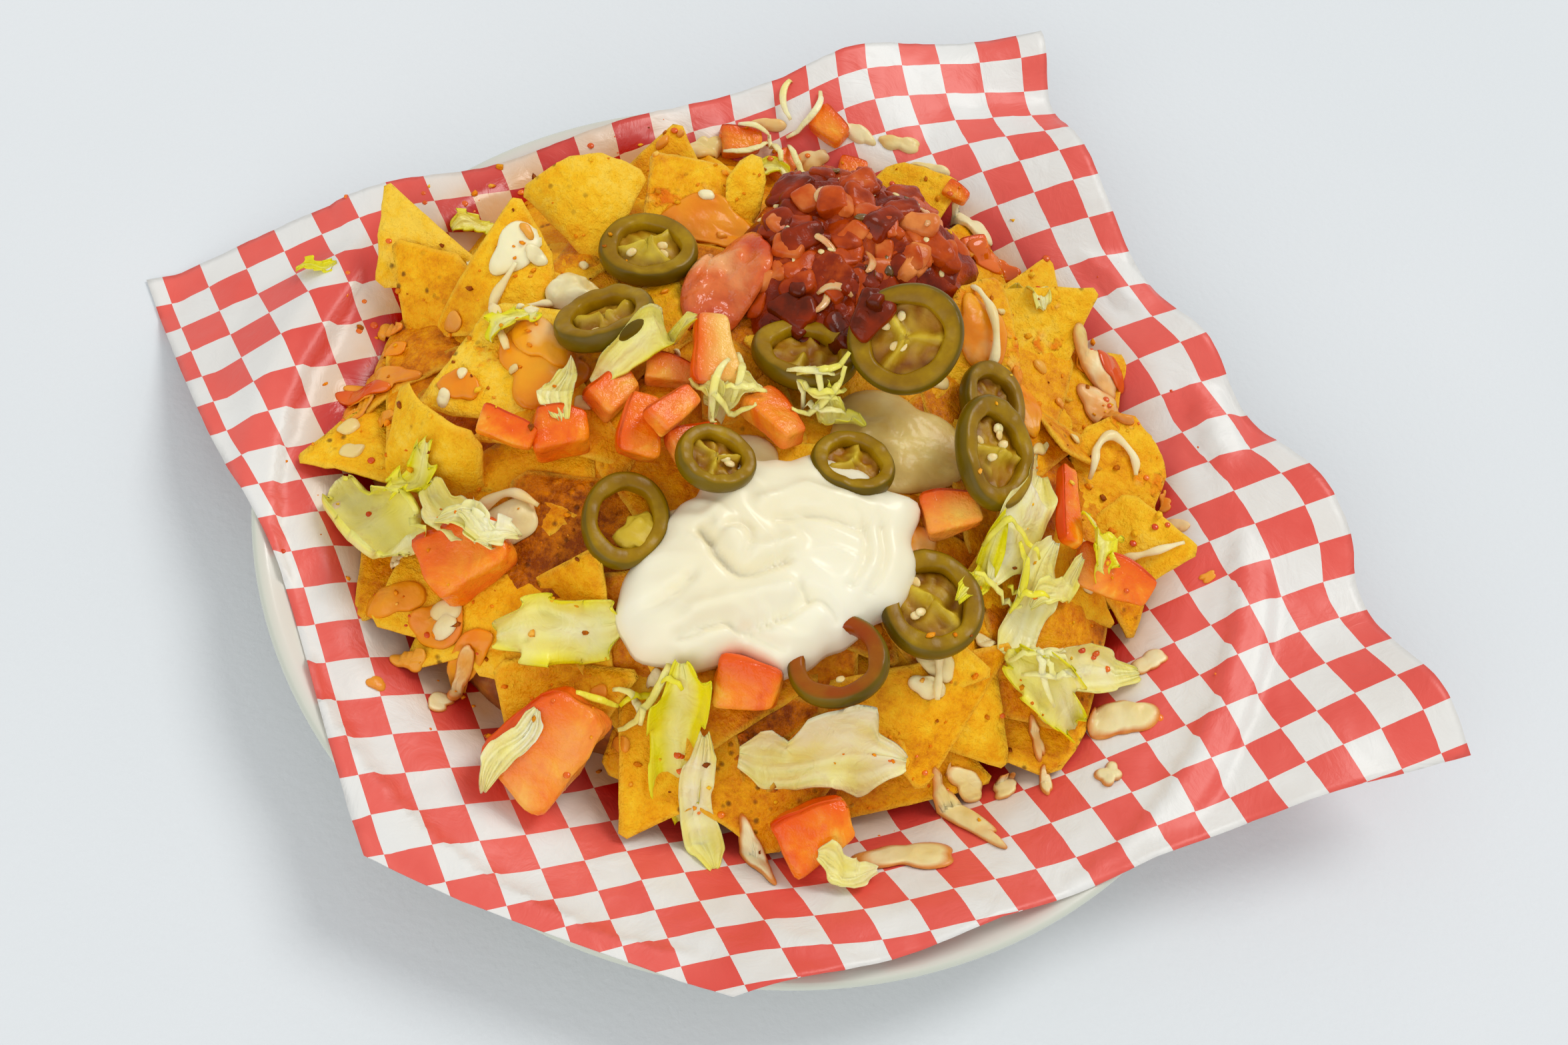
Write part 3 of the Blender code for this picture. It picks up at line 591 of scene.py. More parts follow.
def chip(corners, bow, step, seed, rounding=3.0):
    """A bowed, blistered slab whose outline is a polygon with eased corners. Gives points, faces and
    how near each point is to the edge, 1 at the edge and 0 from three millimetres in."""
    corners = np.array(corners, float)
    middle = corners.mean(0)
    ahead = np.roll(corners, -1, axis=0)
    normal = np.cross(corners - middle, ahead - middle).sum(0)
    if normal[2] < 0:
        corners, normal = corners[::-1], -normal
    normal /= np.linalg.norm(normal)
    side = corners[1] - corners[0]
    side -= normal * (side @ normal)
    side /= np.linalg.norm(side)
    front = np.cross(normal, side)
    axes = np.array([side, front])
    flat = (corners - middle) @ axes.T
    rise = (corners - middle) @ normal
    size = np.abs(flat).max() + step
    cells = max(int(2 * size / step), 6)
    bm = bmesh.new()
    bmesh.ops.create_grid(bm, x_segments=cells, y_segments=cells, size=size)
    cuts = []
    for here, there in zip(flat, np.roll(flat, -1, axis=0)):
        along = there - here
        cuts.append((here, np.array([along[1], -along[0]]) / np.linalg.norm(along)))
    for before, here, after in zip(np.roll(flat, 1, axis=0), flat, np.roll(flat, -1, axis=0)):
        inward = (before - here) / np.linalg.norm(before - here) + (after - here) / np.linalg.norm(after - here)
        inward /= np.linalg.norm(inward) + 1e-9
        cuts.append((here + inward * rounding * 0.7, -inward))
    for spot, out in cuts:
        bmesh.ops.bisect_plane(
            bm,
            geom=bm.verts[:] + bm.edges[:] + bm.faces[:],
            plane_co=(*spot, 0),
            plane_no=(*out, 0),
            clear_outer=True,
        )
    local, faces = taken(bm)
    inside = np.min([-(local[:, :2] - spot) @ out for spot, out in cuts], axis=0)
    if len(corners) > 3:
        basis = np.c_[np.ones(len(flat)), flat, flat[:, 0] * flat[:, 1]]
        bend = np.linalg.lstsq(basis, rise, rcond=None)[0]
        height = np.c_[np.ones(len(local)), local[:, :2], local[:, 0] * local[:, 1]] @ bend
    else:
        height = np.zeros(len(local))
    reach = np.linalg.norm(flat, axis=1).max()
    height += bow * (1 - (np.hypot(local[:, 0], local[:, 1]) / reach) ** 2)
    edge = np.clip(1 - inside / 3.0, 0, 1)
    shifted = Vector((seed * 7.3, seed * 3.1, seed * 5.7))
    for index, (x, y, _) in enumerate(local):
        spot = Vector((x, y, 0))
        blister = noise.noise(spot / 7.5 + shifted)
        small = noise.noise(spot / 2.6 + shifted)
        warp = noise.noise(spot / 26 + shifted)
        height[index] += 1.3 * max(blister, -0.1) + 0.5 * small + 1.6 * warp
        wobble = 0.8 * edge[index] * noise.noise(spot / 6 + shifted * 2)
        local[index, 0] += wobble * x / reach
        local[index, 1] += wobble * y / reach
    place = middle + local[:, :2] @ axes + np.outer(height, normal)
    points, faces = slab(place, faces, normal, CHIP_THICK, 0.45)
    return points, faces, np.r_[edge, edge]


fried = Finish("fried_corn", 0.5, Specular_IOR_Level=0.14)
tone = fried.maths("ADD", fried.attribute("tone"), fried.maths("MULTIPLY_ADD", fried.noise(20, 3), 0.8, -0.4))
grain = fried.maths("MULTIPLY_ADD", fried.noise(2.6, 5, 0.75), 1.1, -0.55)
tone = fried.maths("ADD", tone, grain)
# the deep end of this ramp is partly browning, partly painted shade for chips in shade
fry = fried.ramp(
    tone,
    (0.02, tint(254, 212, 72)),
    (0.25, tint(252, 196, 30)),
    (0.5, tint(244, 168, 6)),
    (0.75, tint(214, 120, 0)),
    (1.0, tint(140, 62, 0)),
)
# paler towards each chip's edge: a painted highlight where the rim catches the light
fry = fried.mix(fried.ramp(fried.attribute("edge"), (0.5, 0.0), (1.0, 0.6)), fry, tint(252, 206, 62))
fleck = fried.maths("MULTIPLY", fried.ramp(fried.cells(4.2), (0.10, 1.0), (0.24, 0.0)),
                    fried.ramp(fried.noise(17, 2), (0.52, 0.0), (0.62, 1.0)))
fry = fried.mix(fried.maths("MULTIPLY", fleck, 0.75), fry, tint(92, 44, 12))
crust = fried.maths("ADD", fried.attribute("cheesy"), fried.maths("MULTIPLY_ADD", fried.noise(8, 4, 0.65), 1.8, -1.2))
crust = fried.ramp(crust, (0.35, 0.0), (0.5, 1.0))
crust_tone = fried.ramp(fried.noise(3, 3), (0.35, tint(236, 118, 0)), (0.55, tint(250, 156, 8)), (0.7, tint(254, 204, 90)))
fry = fried.mix(crust, fry, crust_tone)
fried.look(Base_Color=fry)
fried.look(Roughness=fried.ramp(fried.attribute("tone"), (0.3, 0.55), (0.8, 0.3)))
blistered = fried.bump(fried.noise(4.5, 5, 0.7), 1.9)
blistered = fried.bump(fried.noise(1.4, 3, 0.7), 0.7, blistered)
blistered = fried.bump(crust, 0.5, blistered)
fried.bump(fleck, 0.25, blistered)

chips = Joined()
for number, (name, corners, bow, shade) in enumerate(CHIPS):
    raised = []
    for x, y, z in corners:
        raised.append((x, y, max(z, top(x, y) + 2.2 if math.hypot(x, y) > 96 else z)))
    points, faces, edge = chip(raised, bow * 1.5, CHIP_STEP, number)
    chips.add(points, faces, edge=edge, tone=shade, cheesy=0.55 if name in CHEESY else 0.1)
    lay(points, faces)
chips.piece("chips_on_top", fried, "chips", ["chip_heap"])

FILLERS = 96
dice = random.Random(11)
buried = Joined()
for number in range(FILLERS):
    around = number * 2.39996
    share = math.sqrt((number + 0.6) / FILLERS) * 0.98
    x = PILE_CENTRE[0] + PILE_HALF[0] * share * math.cos(around)
    y = PILE_CENTRE[1] + PILE_HALF[1] * share * math.sin(around)
    slope = Vector((dome(x - 4, y) - dome(x + 4, y), dome(x, y - 4) - dome(x, y + 4), 8)).normalized()
    loose = 0.10 if share < 0.7 else 0.30
    slope = (slope + Vector([dice.uniform(-loose, loose) for _ in range(3)])).normalized()
    if share > 0.8:
        slope = (slope + Vector((0, 0, 0.5))).normalized()
    side = slope.orthogonal().normalized()
    front = slope.cross(side)
    spin = dice.uniform(0, 2 * math.pi)
    reach = dice.uniform(24, 31)
    corners = []
    count = dice.choice((3, 3, 4))
    for k in range(count):
        a = spin + 2 * math.pi * k / count + dice.uniform(-0.2, 0.2)
        spot = Vector((x, y, dome(x, y) - 4)) + (side * math.cos(a) + front * math.sin(a)) * reach
        off = math.hypot(spot.x, spot.y)
        floor_z = float(well(off)) + 3.4 if off < 141 else 33.0
        corners.append((spot.x, spot.y, max(spot.z, floor_z)))
    if max(math.hypot(c[0], c[1]) for c in corners) > 138:
        continue
    points, faces, edge = chip(corners, dice.uniform(1, 4), 3.0, 100 + number)
    buried.add(points, faces, edge=edge, tone=dice.uniform(0.3, 0.8), cheesy=dice.uniform(0.0, 0.5))
    lay(points, faces)
buried.piece("chips_inside", fried, "chips")

# ---------------------------------------------------------------- melted cheese
# Cheese that has run over the chips: orange coats, pale melts with browned spots, and strings. Each
# is a thin skin moulded to what lies under it; on the paper it set in drops and fingers with brown rims.

melted = Finish("melted_cheese", 0.3, Subsurface_Weight=0.2, Subsurface_Scale=0.002, Specular_IOR_Level=0.35)
melted.look(Subsurface_Radius=(1.0, 0.6, 0.25))
pale = melted.ramp(melted.noise(12, 3), (0.35, tint(240, 210, 130)), (0.6, tint(254, 242, 196)))
orange = melted.ramp(melted.noise(9, 3), (0.35, tint(240, 132, 4)), (0.65, tint(250, 166, 20)))
cheddar = melted.maths("ADD", melted.attribute("orange"), melted.maths("MULTIPLY_ADD", melted.noise(8, 3), 0.9, -0.45))
coat = melted.mix(melted.ramp(cheddar, (0.35, 0.0), (0.65, 1.0)), pale, orange)
clear = melted.ramp(melted.noise(7, 3), (0.3, tint(206, 162, 62)), (0.7, tint(236, 208, 122)))
coat = melted.mix(melted.attribute("clear"), coat, clear)
toast = melted.maths("ADD", melted.attribute("brown"), melted.maths("MULTIPLY_ADD", melted.noise(6, 4), 1.2, -0.6))
toasted = melted.ramp(melted.noise(3, 2), (0.3, tint(206, 104, 20)), (0.7, tint(232, 160, 76)))
melted.look(Base_Color=melted.mix(melted.ramp(toast, (0.5, 0.0), (0.95, 1.0)), coat, toasted))
melted.bump(melted.noise(2.5, 3), 0.45, melted.bump(melted.noise(6, 3), 0.8))


def melt(x, y, length, width, thick, turn, seed, lobes=0.16, reach=1.6, rings=9, steps=40):
    """A skin moulded to what is under it. Gives points, faces and the share of the way out, 0 to 1."""
    turned = math.radians(turn)
    outline = np.full(steps, 0.5)  # the reach of overlapping round drips, so the edge is lobed
    ways = np.arange(steps) * 2 * math.pi / steps
    drip = random.Random(seed)
    for _ in range(6):
        heading, off, size = drip.uniform(0, 6.3), drip.uniform(0.3, 0.75), drip.uniform(0.32, 0.6)
        beside = off * np.sin(ways - heading)
        inside = np.abs(beside) < size
        reached = off * np.cos(ways - heading) + np.sqrt(np.maximum(size**2 - beside**2, 0))
        outline = np.maximum(outline, np.where(inside, reached, 0))
    for _ in range(2):
        outline = 0.5 * outline + 0.25 * (np.roll(outline, 1) + np.roll(outline, -1))
    tops, share = [], []
    for ring in range(rings + 1):
        out = (ring / rings) ** 0.8
        for step in range(steps if ring else 1):
            a = 2 * math.pi * step / steps
            edge = 1 + min(1.0, 3.5 * lobes) * (float(outline[step]) - 1)
            along, across = length / 2 * out * edge * math.cos(a), width / 2 * out * edge * math.sin(a)
            px = x + along * math.cos(turned) - across * math.sin(turned)
            py = y + along * math.sin(turned) + across * math.cos(turned)
            lump = 1 + 0.5 * noise.noise(Vector((px, py, seed)) / 4.5)
            tops.append((px, py, bed(px, py, reach) + 0.2 + thick * lump * (1 - min(out, 0.995) ** 3) ** 0.5))
            share.append(out)
    faces = [[0, 1 + k, 1 + (k + 1) % steps] for k in range(steps)]
    for ring in range(1, rings):
        a, b = 1 + (ring - 1) * steps, 1 + ring * steps
        faces += [[a + k, b + k, b + (k + 1) % steps, a + (k + 1) % steps] for k in range(steps)]
    points, faces = slab(np.array(tops), faces, np.array((0.0, 0.0, 1.0)), 0.8, 0.0)
    return points, faces, np.r_[share, share]


def strand(path, radii, round_steps=8, flat=1.0):
    """A closed tube along a path, flattened in height by flat."""
    path = np.asarray(path, float)
    ahead = np.gradient(path, axis=0)
    ahead /= np.linalg.norm(ahead, axis=1)[:, None] + 1e-9
    side = np.cross(ahead, (0.0, 0.0, 1.0))
    side /= np.linalg.norm(side, axis=1)[:, None] + 1e-9
    lift = np.cross(side, ahead)
    points = []
    for spot, s, u, r in zip(path, side, lift, radii):
        for k in range(round_steps):
            a = 2 * math.pi * k / round_steps
            points.append(spot + (s * math.cos(a) + u * math.sin(a) * flat) * r)
    faces = [list(reversed(range(round_steps)))]
    for ring in range(len(path) - 1):
        for k in range(round_steps):
            a, b = ring * round_steps + k, ring * round_steps + (k + 1) % round_steps
            faces.append([a, b, b + round_steps, a + round_steps])
    faces.append([(len(path) - 1) * round_steps + k for k in range(round_steps)])
    return np.array(points), faces


def smooth_path(corners, count):
    """A Catmull-Rom curve through the corners."""
    corners = np.asarray(corners, float)
    padded = np.vstack([2 * corners[0] - corners[1], corners, 2 * corners[-1] - corners[-2]])
    spots = []
    for t in np.linspace(0, len(corners) - 1 - 1e-6, count):
        k, f = int(t), t - int(t)
        a, b, c, d = padded[k : k + 4]
        spots.append(
            0.5 * (2 * b + (c - a) * f + (2 * a - 5 * b + 4 * c - d) * f**2 + (3 * b - a - 3 * c + d) * f**3)
        )
    return np.array(spots)


# x, y, length, width, thick, turn, orange, brown
COATS = (
    (-71, 2, 27, 24, 1.6, 60, 0.95, 0.1),
    (-93, -9, 14, 9, 1.0, -30, 0.9, 0.2),
    (-74, 8, 20, 15, 1.2, -30, 0.6, 0.1),
    (46, 57, 26, 15, 1.6, -70, 0.7, 0.2),
    (64, 46, 26, 11, 1.4, -60, 0.9, 0.2),
    (-92, -66, 16, 11, 1.0, 20, 0.8, 0.5),
    (-77, -70, 18, 13, 1.0, 10, 0.9, 0.6),
    (-66, -77, 14, 10, 1.0, 40, 0.9, 0.6),
    (-90, 38, 20, 13, 1.4, 60, 0.2, 0.2),
    (-67, -42, 20, 16, 2.2, 10, 0.15, 0.1),
    (57, -47, 13, 8, 1.6, -20, 0.1, 0.3),
    (56, -54, 10, 6, 1.6, 10, 0.1, 0.5),
    (-122, -9, 12, 8, 1.0, 70, 0.8, 0.9),
    (-118, 10, 9, 7, 0.8, 20, 0.9, 0.4),
    (82, 78, 16, 9, 1.2, -30, 0.8, 0.3),
    (-10, -12, 26, 18, 2.0, 0, 0.3, 0.1),
    (40, -20, 20, 16, 2.0, 40, 0.6, 0.2),
    (-40, 70, 26, 18, 1.2, 10, 0.85, 0.2),
    (12, 112, 26, 14, 1.4, 20, 0.6, 0.3),
)
coats = Joined()
for number, (x, y, length, width, thick, turn, orange_share, brown) in enumerate(COATS):
    points, faces, out = melt(x, y, length, width, thick, turn, number, 0.2)
    coats.add(points, faces, orange=orange_share, brown=brown * out**3, clear=0.0)
    lay(points, faces)
dice = random.Random(31)
for number in range(60):  # curds and small drips
    around, share = dice.uniform(0, 2 * math.pi), math.sqrt(dice.uniform(0.05, 1.05))
    x = PILE_CENTRE[0] + PILE_HALF[0] * share * math.cos(around)
    y = PILE_CENTRE[1] + PILE_HALF[1] * share * math.sin(around)
    size = dice.uniform(2.5, 8.5)
    spread = size * dice.uniform(0.5, 1.0)
    points, faces, out = melt(x, y, size, spread, 0.9, dice.uniform(0, 180), 60 + number, 0.3, 1.0, 5, 22)
    coats.add(points, faces, orange=dice.choice((0.0, 0.2, 0.9)), brown=0.15 * out**3, clear=dice.uniform(0, 0.4))
# corners as x, y and height over what is under them, then the radius in the middle
STRINGS = (
    (((-89, 33, 0), (-92, 22, 0), (-88, 12, 0.6), (-82, 2, 0)), 1.5),
    (((-60, -38, 1), (-70, -36, 1), (-76, -42, 1), (-70, -54, 0)), 1.7),
    (((90, 32, 0), (90, 42, 1), (94, 48, 1), (102, 45, 0), (104, 40, 0)), 1.5),
    (((100, 9, 0), (108, 12, 1), (121, 19, 0)), 1.3),
    (((40, 70, 0), (47, 62, 1), (52, 50, 1), (50, 42, 0)), 1.4),
    (((-66, 34, 0), (-74, 28, 0.5), (-84, 22, 0)), 1.2),
    (((-45, 98, 1), (-38, 103, 1), (-30, 100, 1)), 1.2),
    (((46, -34, 0), (56, -44, 0), (60, -56, 0)), 1.4),
)
for number, (corners, radius) in enumerate(STRINGS):
    path = smooth_path(corners, 26)
    path = np.array([(x, y, bed(x, y, 2) + z + radius * 0.5) for x, y, z in path])
    share = np.linspace(-1, 1, len(path))
    radii = radius * (0.45 + 0.55 * np.cos(share * 1.4)) * (1 + 0.25 * np.sin(share * 9 + number))
    points, faces = strand(path, radii, 8, 0.7)
    coats.add(points, faces, orange=0.1, brown=0.1, clear=0.1)
coats.piece("melted_cheese", melted, "cheese")

# The stand-alone pieces: x, y, length, width, height, turn, orange, brown rim
CHEESE = (
    (116, -33, 19, 15, 4, 50, 0.25, 1.1),
    (114, -54, 9, 9, 4, 0, 0.2, 1.1),
    (64, -94, 25, 12, 3, 15, 0.3, 1.1),
    (79, -78, 31, 7, 3, -32, 0.3, 1.0),
    (86, 76, 21, 13, 4, -25, 0.5, 0.9),
    (-69, 32, 19, 14, 6, 10, 0.0, 0.2),
    (31, 10, 40, 32, 2.2, 20, 0.35, 0.1),
    (93, 62, 20, 13, 4, -15, 0.5, 0.9),
    (24, -106, 20, 6, 3, -50, 0.2, 1.2),
)
# more of the same on the paper: x, y, length, width, height, turn, orange, brown rim
DROPS = (
    (76, -67, 13, 8, 3, 10, 0.2, 0.9),
    (88, -64, 9, 7, 3, 60, 0.2, 1.0),
    (92, -50, 12, 4, 2, -60, 0.4, 1.3),
    (97, -60, 10, 4, 2, -70, 0.4, 1.3),
    (121, -14, 11, 8, 2.5, 30, 0.4, 1.0),
    (122, 33, 9, 6, 2, 0, 0.5, 0.9),
    (-72, -88, 10, 7, 2, 20, 0.4, 1.0),
    (-68, -80, 9, 6, 2, 70, 0.5, 1.1),
    (-83, -80, 10, 7, 2, 0, 0.9, 0.6),
    (116, 40, 6, 5, 1.5, 0, 0.9, 0.3),
    (132, 18, 6, 4, 1.5, 40, 0.9, 0.3),
    (-89, -90, 6, 5, 1.5, 0, 0.9, 0.4),
    (-51, 118, 14, 9, 4, 60, 0.3, 0.3),
    (-34, 134, 12, 6, 3, 20, 0.4, 0.3),
    (-6, 141, 15, 6, 3, -20, 0.1, 0.3),
    (8, 142, 12, 7, 3, 10, 0.2, 0.3),
    (-18, 127, 12, 6, 4, 30, 0.5, 0.2),
    (38, 119, 15, 8, 4, -30, 0.2, 0.4),
    (20, 136, 12, 6, 3, 0, 0.3, 0.4),
    (-123, 20, 8, 7, 3, 0, 1.0, 0.2),
    (-119, -2, 22, 8, 2, 10, 0.9, 0.5),
)
for number, row in enumerate(CHEESE + DROPS):
    x, y, length, width, height, turn, orange_share, brown = row
    on_paper = number not in (5, 6)
    height, lobes = (height * 0.6, 0.28) if on_paper else (height, 0.16)
    points, faces, out = melt(x, y, length, width, height, turn, 30 + number, lobes, 1.6, 10, 56)
    name, stands_for = f"cheese_drop_{number + 1}", ()
    if number < len(CHEESE):
        stands_for = (f"cheese_{number + 1}",)
    shape = Joined()
    shape.add(points, faces, orange=orange_share, brown=brown * out**2.5, clear=0.9 if number == 6 else 0.15)
    shape.piece(name, melted, "cheese", stands_for)
    lay(points, faces)

# ---------------------------------------------------------------- jalapeno slices
# Pickled rings: an olive skin, a thick wall with a grainy cut face, pale pith across the hollow and
# flat cream seeds. Each is turned from a rounded wall section, then leaned on the pile.

# lean, towards, turn, length, width, thickness, webs, pith, seeds: angles in degrees, sizes in mm
SLICES = (
    (8, 153, 0, 27, 25, 5.0, (60, 200, 330), 0.62, 3),
    (28, 150, 30, 27, 24, 5.5, (20, 160), 0.2, 1),
    (16, 110, 10, 29, 26, 5.0, (250,), 0.0, 0),
    (30, -105, 60, 32, 29, 4.5, (80, 190, 310), 0.25, 4),
    (24, 10, 100, 28, 20, 4.5, (200,), 0.0, 1),
    (28, -9, 105, 32, 24, 5.0, (90, 270), 0.36, 6),
    (12, 30, 0, 21, 20, 4.5, (30, 150, 270), 0.15, 2),
    (8, 90, 0, 22, 21, 4.5, (90, 210), 0.2, 0),
    (14, -40, 100, 26, 23, 5.0, (), 0.46, 0),
    (3, -100, 120, 31, 27, 5.0, (40, 220), 0.4, 3),
    (20, -170, 20, 27, 25, 5.0, (), 0.0, 1),
)
# shares of the ring's radius and of its thickness, round the wall's section; the first five are skin
WALL_SECTION = (
    (0.985, -0.12),
    (1.045, 0.15),
    (1.06, 0.45),
    (1.045, 0.76),
    (1.0, 0.96),
    (0.965, 1.02),
    (0.90, 1.04),
    (0.81, 1.03),
    (0.73, 1.0),
    (0.68, 0.92),
    (0.66, 0.6),
    (0.67, 0.2),
    (0.72, -0.08),
    (0.86, -0.14),
    (0.95, -0.14),
)
pepper = Finish("pickled_pepper", 0.3, Specular_IOR_Level=0.22)
flesh = pepper.ramp(
    pepper.noise(5, 4, 0.6), (0.3, tint(128, 98, 0)), (0.55, tint(156, 124, 0)), (0.75, tint(184, 152, 12))
)
skin = pepper.ramp(pepper.noise(10, 3), (0.3, tint(88, 70, 0)), (0.7, tint(128, 102, 0)))
rust = pepper.maths("MULTIPLY", pepper.attribute("rust"), pepper.ramp(pepper.noise(8, 2), (0.3, 0.6), (0.7, 1.0)))
flesh = pepper.mix(rust, flesh, tint(150, 44, 2))
pepper.look(Base_Color=pepper.mix(pepper.attribute("skin"), flesh, skin))
pepper.bump(pepper.noise(1.2, 3), 0.12)
pith = Finish("pepper_pith", 0.4, Specular_IOR_Level=0.3)
pith_top = pith.ramp(pith.noise(4, 3), (0.3, tint(196, 160, 20)), (0.7, tint(226, 200, 60)))
# darker brown where the pith lies deep in the hollow: painted shade
pith_deep = pith.ramp(pith.noise(5, 3), (0.3, tint(126, 66, 0)), (0.7, tint(176, 112, 6)))
pith.look(Base_Color=pith.mix(pith.attribute("deep"), pith_top, pith_deep))
pith.bump(pith.noise(1.6, 3), 0.35)
seed_skin = Finish("pepper_seed", 0.35, Subsurface_Weight=0.3, Subsurface_Scale=0.001)
seed_skin.look(Base_Color=seed_skin.ramp(seed_skin.noise(2, 2), (0.3, tint(232, 200, 120)), (0.7, tint(250, 232, 176))))


def resting(node, lean, towards, turn):
    """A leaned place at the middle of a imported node's box, in millimetres about the plate."""
    low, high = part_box(node)
    spot = (np.array(low + high) / 2 - MIDDLE) / MM
    axis = Vector((-math.sin(math.radians(towards)), math.cos(math.radians(towards)), 0))
    tilt = Matrix.Rotation(math.radians(lean), 4, axis)
    return Matrix.Translation(spot) @ tilt @ Matrix.Rotation(math.radians(turn), 4, "Z")


def moved(matrix, points):
    place = np.array(matrix)
    return np.asarray(points, float) @ place[:3, :3].T + place[:3, 3]


def pebble(size, seed, cuts=2, rough=0.15):
    """A small rounded lump, a ball pressed to its size with noise on it."""
    bm = bmesh.new()
    bmesh.ops.create_icosphere(bm, subdivisions=cuts, radius=1)
    for v in bm.verts:
        bulge = 1 + rough * 2 * noise.noise(v.co * 1.3 + Vector((seed, seed * 2, 3)))
        v.co = (v.co.x * size[0] / 2 * bulge, v.co.y * size[1] / 2 * bulge, v.co.z * size[2] / 2 * bulge)
    return taken(bm)


piths = Joined()
pepper_seeds = Joined()
dice = random.Random(5)
for number, (lean, towards, turn, length, width, thick, webs, ball, seeds) in enumerate(SLICES, 1):
    node = f"jalapeno_{number}"
    place = resting(node, lean, towards, turn)
    steps = 64
    points, on_skin = [], []
    for k in range(steps):
        a = 2 * math.pi * k / steps
        for part, (out, up) in enumerate(WALL_SECTION):
            wobble = 1 + 0.03 * math.sin(2 * a + number) + 0.018 * math.sin(3 * a + 2 * number)
            if out < 0.75:
                wobble += 0.035 * math.sin(3 * a + number) + 0.02 * math.sin(7 * a)
            wavy = 0.12 * noise.noise(Vector((math.cos(a) * 3, math.sin(a) * 3, number * 5 + out)))
            spot = (length / 2 * out * wobble * math.cos(a), width / 2 * out * wobble * math.sin(a))
            points.append((*spot, thick * (up - 0.5 + wavy * up)))
            on_skin.append(1.0 if part < 5 else 0.35 if part in (5, 14) else 0.0)
    across = len(WALL_SECTION)
    faces = []
    for k in range(steps):
        for part in range(across):
            a, b = k * across + part, k * across + (part + 1) % across
            c, d = ((k + 1) % steps) * across + (part + 1) % across, ((k + 1) % steps) * across + part
            faces.append([a, d, c, b])
    ring_points = moved(place, points)
    shape = Joined()
    shape.add(ring_points, faces, skin=on_skin, rust=0.9 if number == 11 else 0.15)
    shape.piece(f"jalapeno_slice_{number}", pepper, "jalapeno", [node])
    lay(ring_points, faces)
    spread = 0.2 + 0.4 * ball
    if webs:
        steps, rings = 40, 9
        floor_points = [(0, 0, 0)]
        for ring in range(1, rings + 1):
            for k in range(steps):
                a = 2 * math.pi * k / steps
                out = 0.70 * ring / rings
                rise = -0.25 + ball * math.exp(-((out / spread) ** 2))
                for web in webs:
                    off = (a - math.radians(web) + math.pi) % (2 * math.pi) - math.pi
                    rise += 0.5 * math.exp(-((off * out / 0.1) ** 2)) * (1 if abs(off) < 1.5 else 0)
                lump = noise.noise(Vector((math.cos(a) * out * 5, math.sin(a) * out * 5, number * 3)))
                spot = (length / 2 * out * math.cos(a), width / 2 * out * math.sin(a), thick * (rise + 0.3 * lump))
                floor_points.append(spot)
        floor_points[0] = (0, 0, thick * (-0.25 + ball + 0.1))
        faces = [[0, 1 + k, 1 + (k + 1) % steps] for k in range(steps)]
        for ring in range(1, rings):
            a, b = 1 + (ring - 1) * steps, 1 + ring * steps
            faces += [[a + k, b + k, b + (k + 1) % steps, a + (k + 1) % steps] for k in range(steps)]
        floor_points = np.array(floor_points)
        # how far down in the hollow each point lies, which darkens the pith as painted shade
        deep = np.clip(0.5 - floor_points[:, 2] / thick * 1.4, 0, 1)
        points, faces = slab(floor_points, faces, np.array((0.0, 0.0, 1.0)), 0.8, 0.0)
        piths.add(moved(place, points), faces, deep=np.r_[deep, deep])
    elif ball:
        points, faces = pebble((length * ball, width * ball, thick * 1.1), number, 3, 0.28)
        points += np.array((-length * 0.12, -width * 0.16, 0))
        piths.add(moved(place, points), faces, deep=0.1)
    for _ in range(seeds):
        a, out = dice.uniform(0, 2 * math.pi), dice.uniform(0.15, 0.5)
        lift = thick * (0.02 + ball * math.exp(-((out / spread) ** 2)))
        tilt = Matrix.Translation((length / 2 * out * math.cos(a), width / 2 * out * math.sin(a), lift))
        tilt = tilt @ Matrix.Rotation(dice.uniform(-0.6, 0.6), 4, "X") @ Matrix.Rotation(a, 4, "Z")
        points, faces = pebble((3.4, 2.6, 1.1), number, 2, 0.08)
        pepper_seeds.add(moved(place @ tilt, points), faces)
piths.piece("jalapeno_pith", pith, "jalapeno")
pepper_seeds.piece("jalapeno_seeds", seed_skin, "jalapeno")

# ---------------------------------------------------------------- diced tomato
# Cooked dice of ripe tomato, wet and orange-red: rounded blocks drawn in at one end, with the skin
# on one side and paler, pitted flesh on the others.

PALER = {1: 1.2, 2: 0.9, 3: 0.4, 6: 0.4, 8: 0.8, 9: 0.5, 11: 0.5, 13: 0.4, 15: 0.4}  # the ones cut nearer the core
# length, width, height, lean, towards, turn
DICE = (
    (20, 13, 9, 14, -60, 110),
    (14, 9, 7, 10, -90, 5),
    (18, 12, 8, 16, 60, -35),
    (17, 9, 5, 18, -100, -8),
    (15, 14, 12, 10, -100, 20),
    (14, 11, 9, 12, -40, 60),
    (18, 12, 9, 18, -60, 100),
    (15, 9, 7, 16, -20, 60),
    (14, 10, 6, 16, -30, 40),
    (24, 20, 13, 30, -130, 35),
    (16, 13, 9, 16, -120, 25),
    (17, 15, 10, 34, -95, 5),
    (25, 14, 4, 24, -80, -8),
    (27, 8, 4, 30, 20, 100),
    (31, 25, 14, 34, -95, 60),
    (20, 17, 12, 30, -80, 45),
)
ripe = Finish("ripe_tomato", 0.2, Subsurface_Weight=0.12, Subsurface_Scale=0.002, Specular_IOR_Level=0.35)
ripe.look(Subsurface_Radius=(1.0, 0.5, 0.1))
tomato_flesh = ripe.ramp(
    ripe.noise(6, 4, 0.6, 0.6),
    (0.25, tint(234, 76, 0)),
    (0.42, tint(248, 112, 0)),
    (0.56, tint(252, 144, 10)),
    (0.7, tint(254, 194, 70)),
)
paler = ripe.maths("MULTIPLY", ripe.attribute("paler"), ripe.ramp(ripe.noise(9, 2), (0.4, 0.2), (0.6, 1.0)))
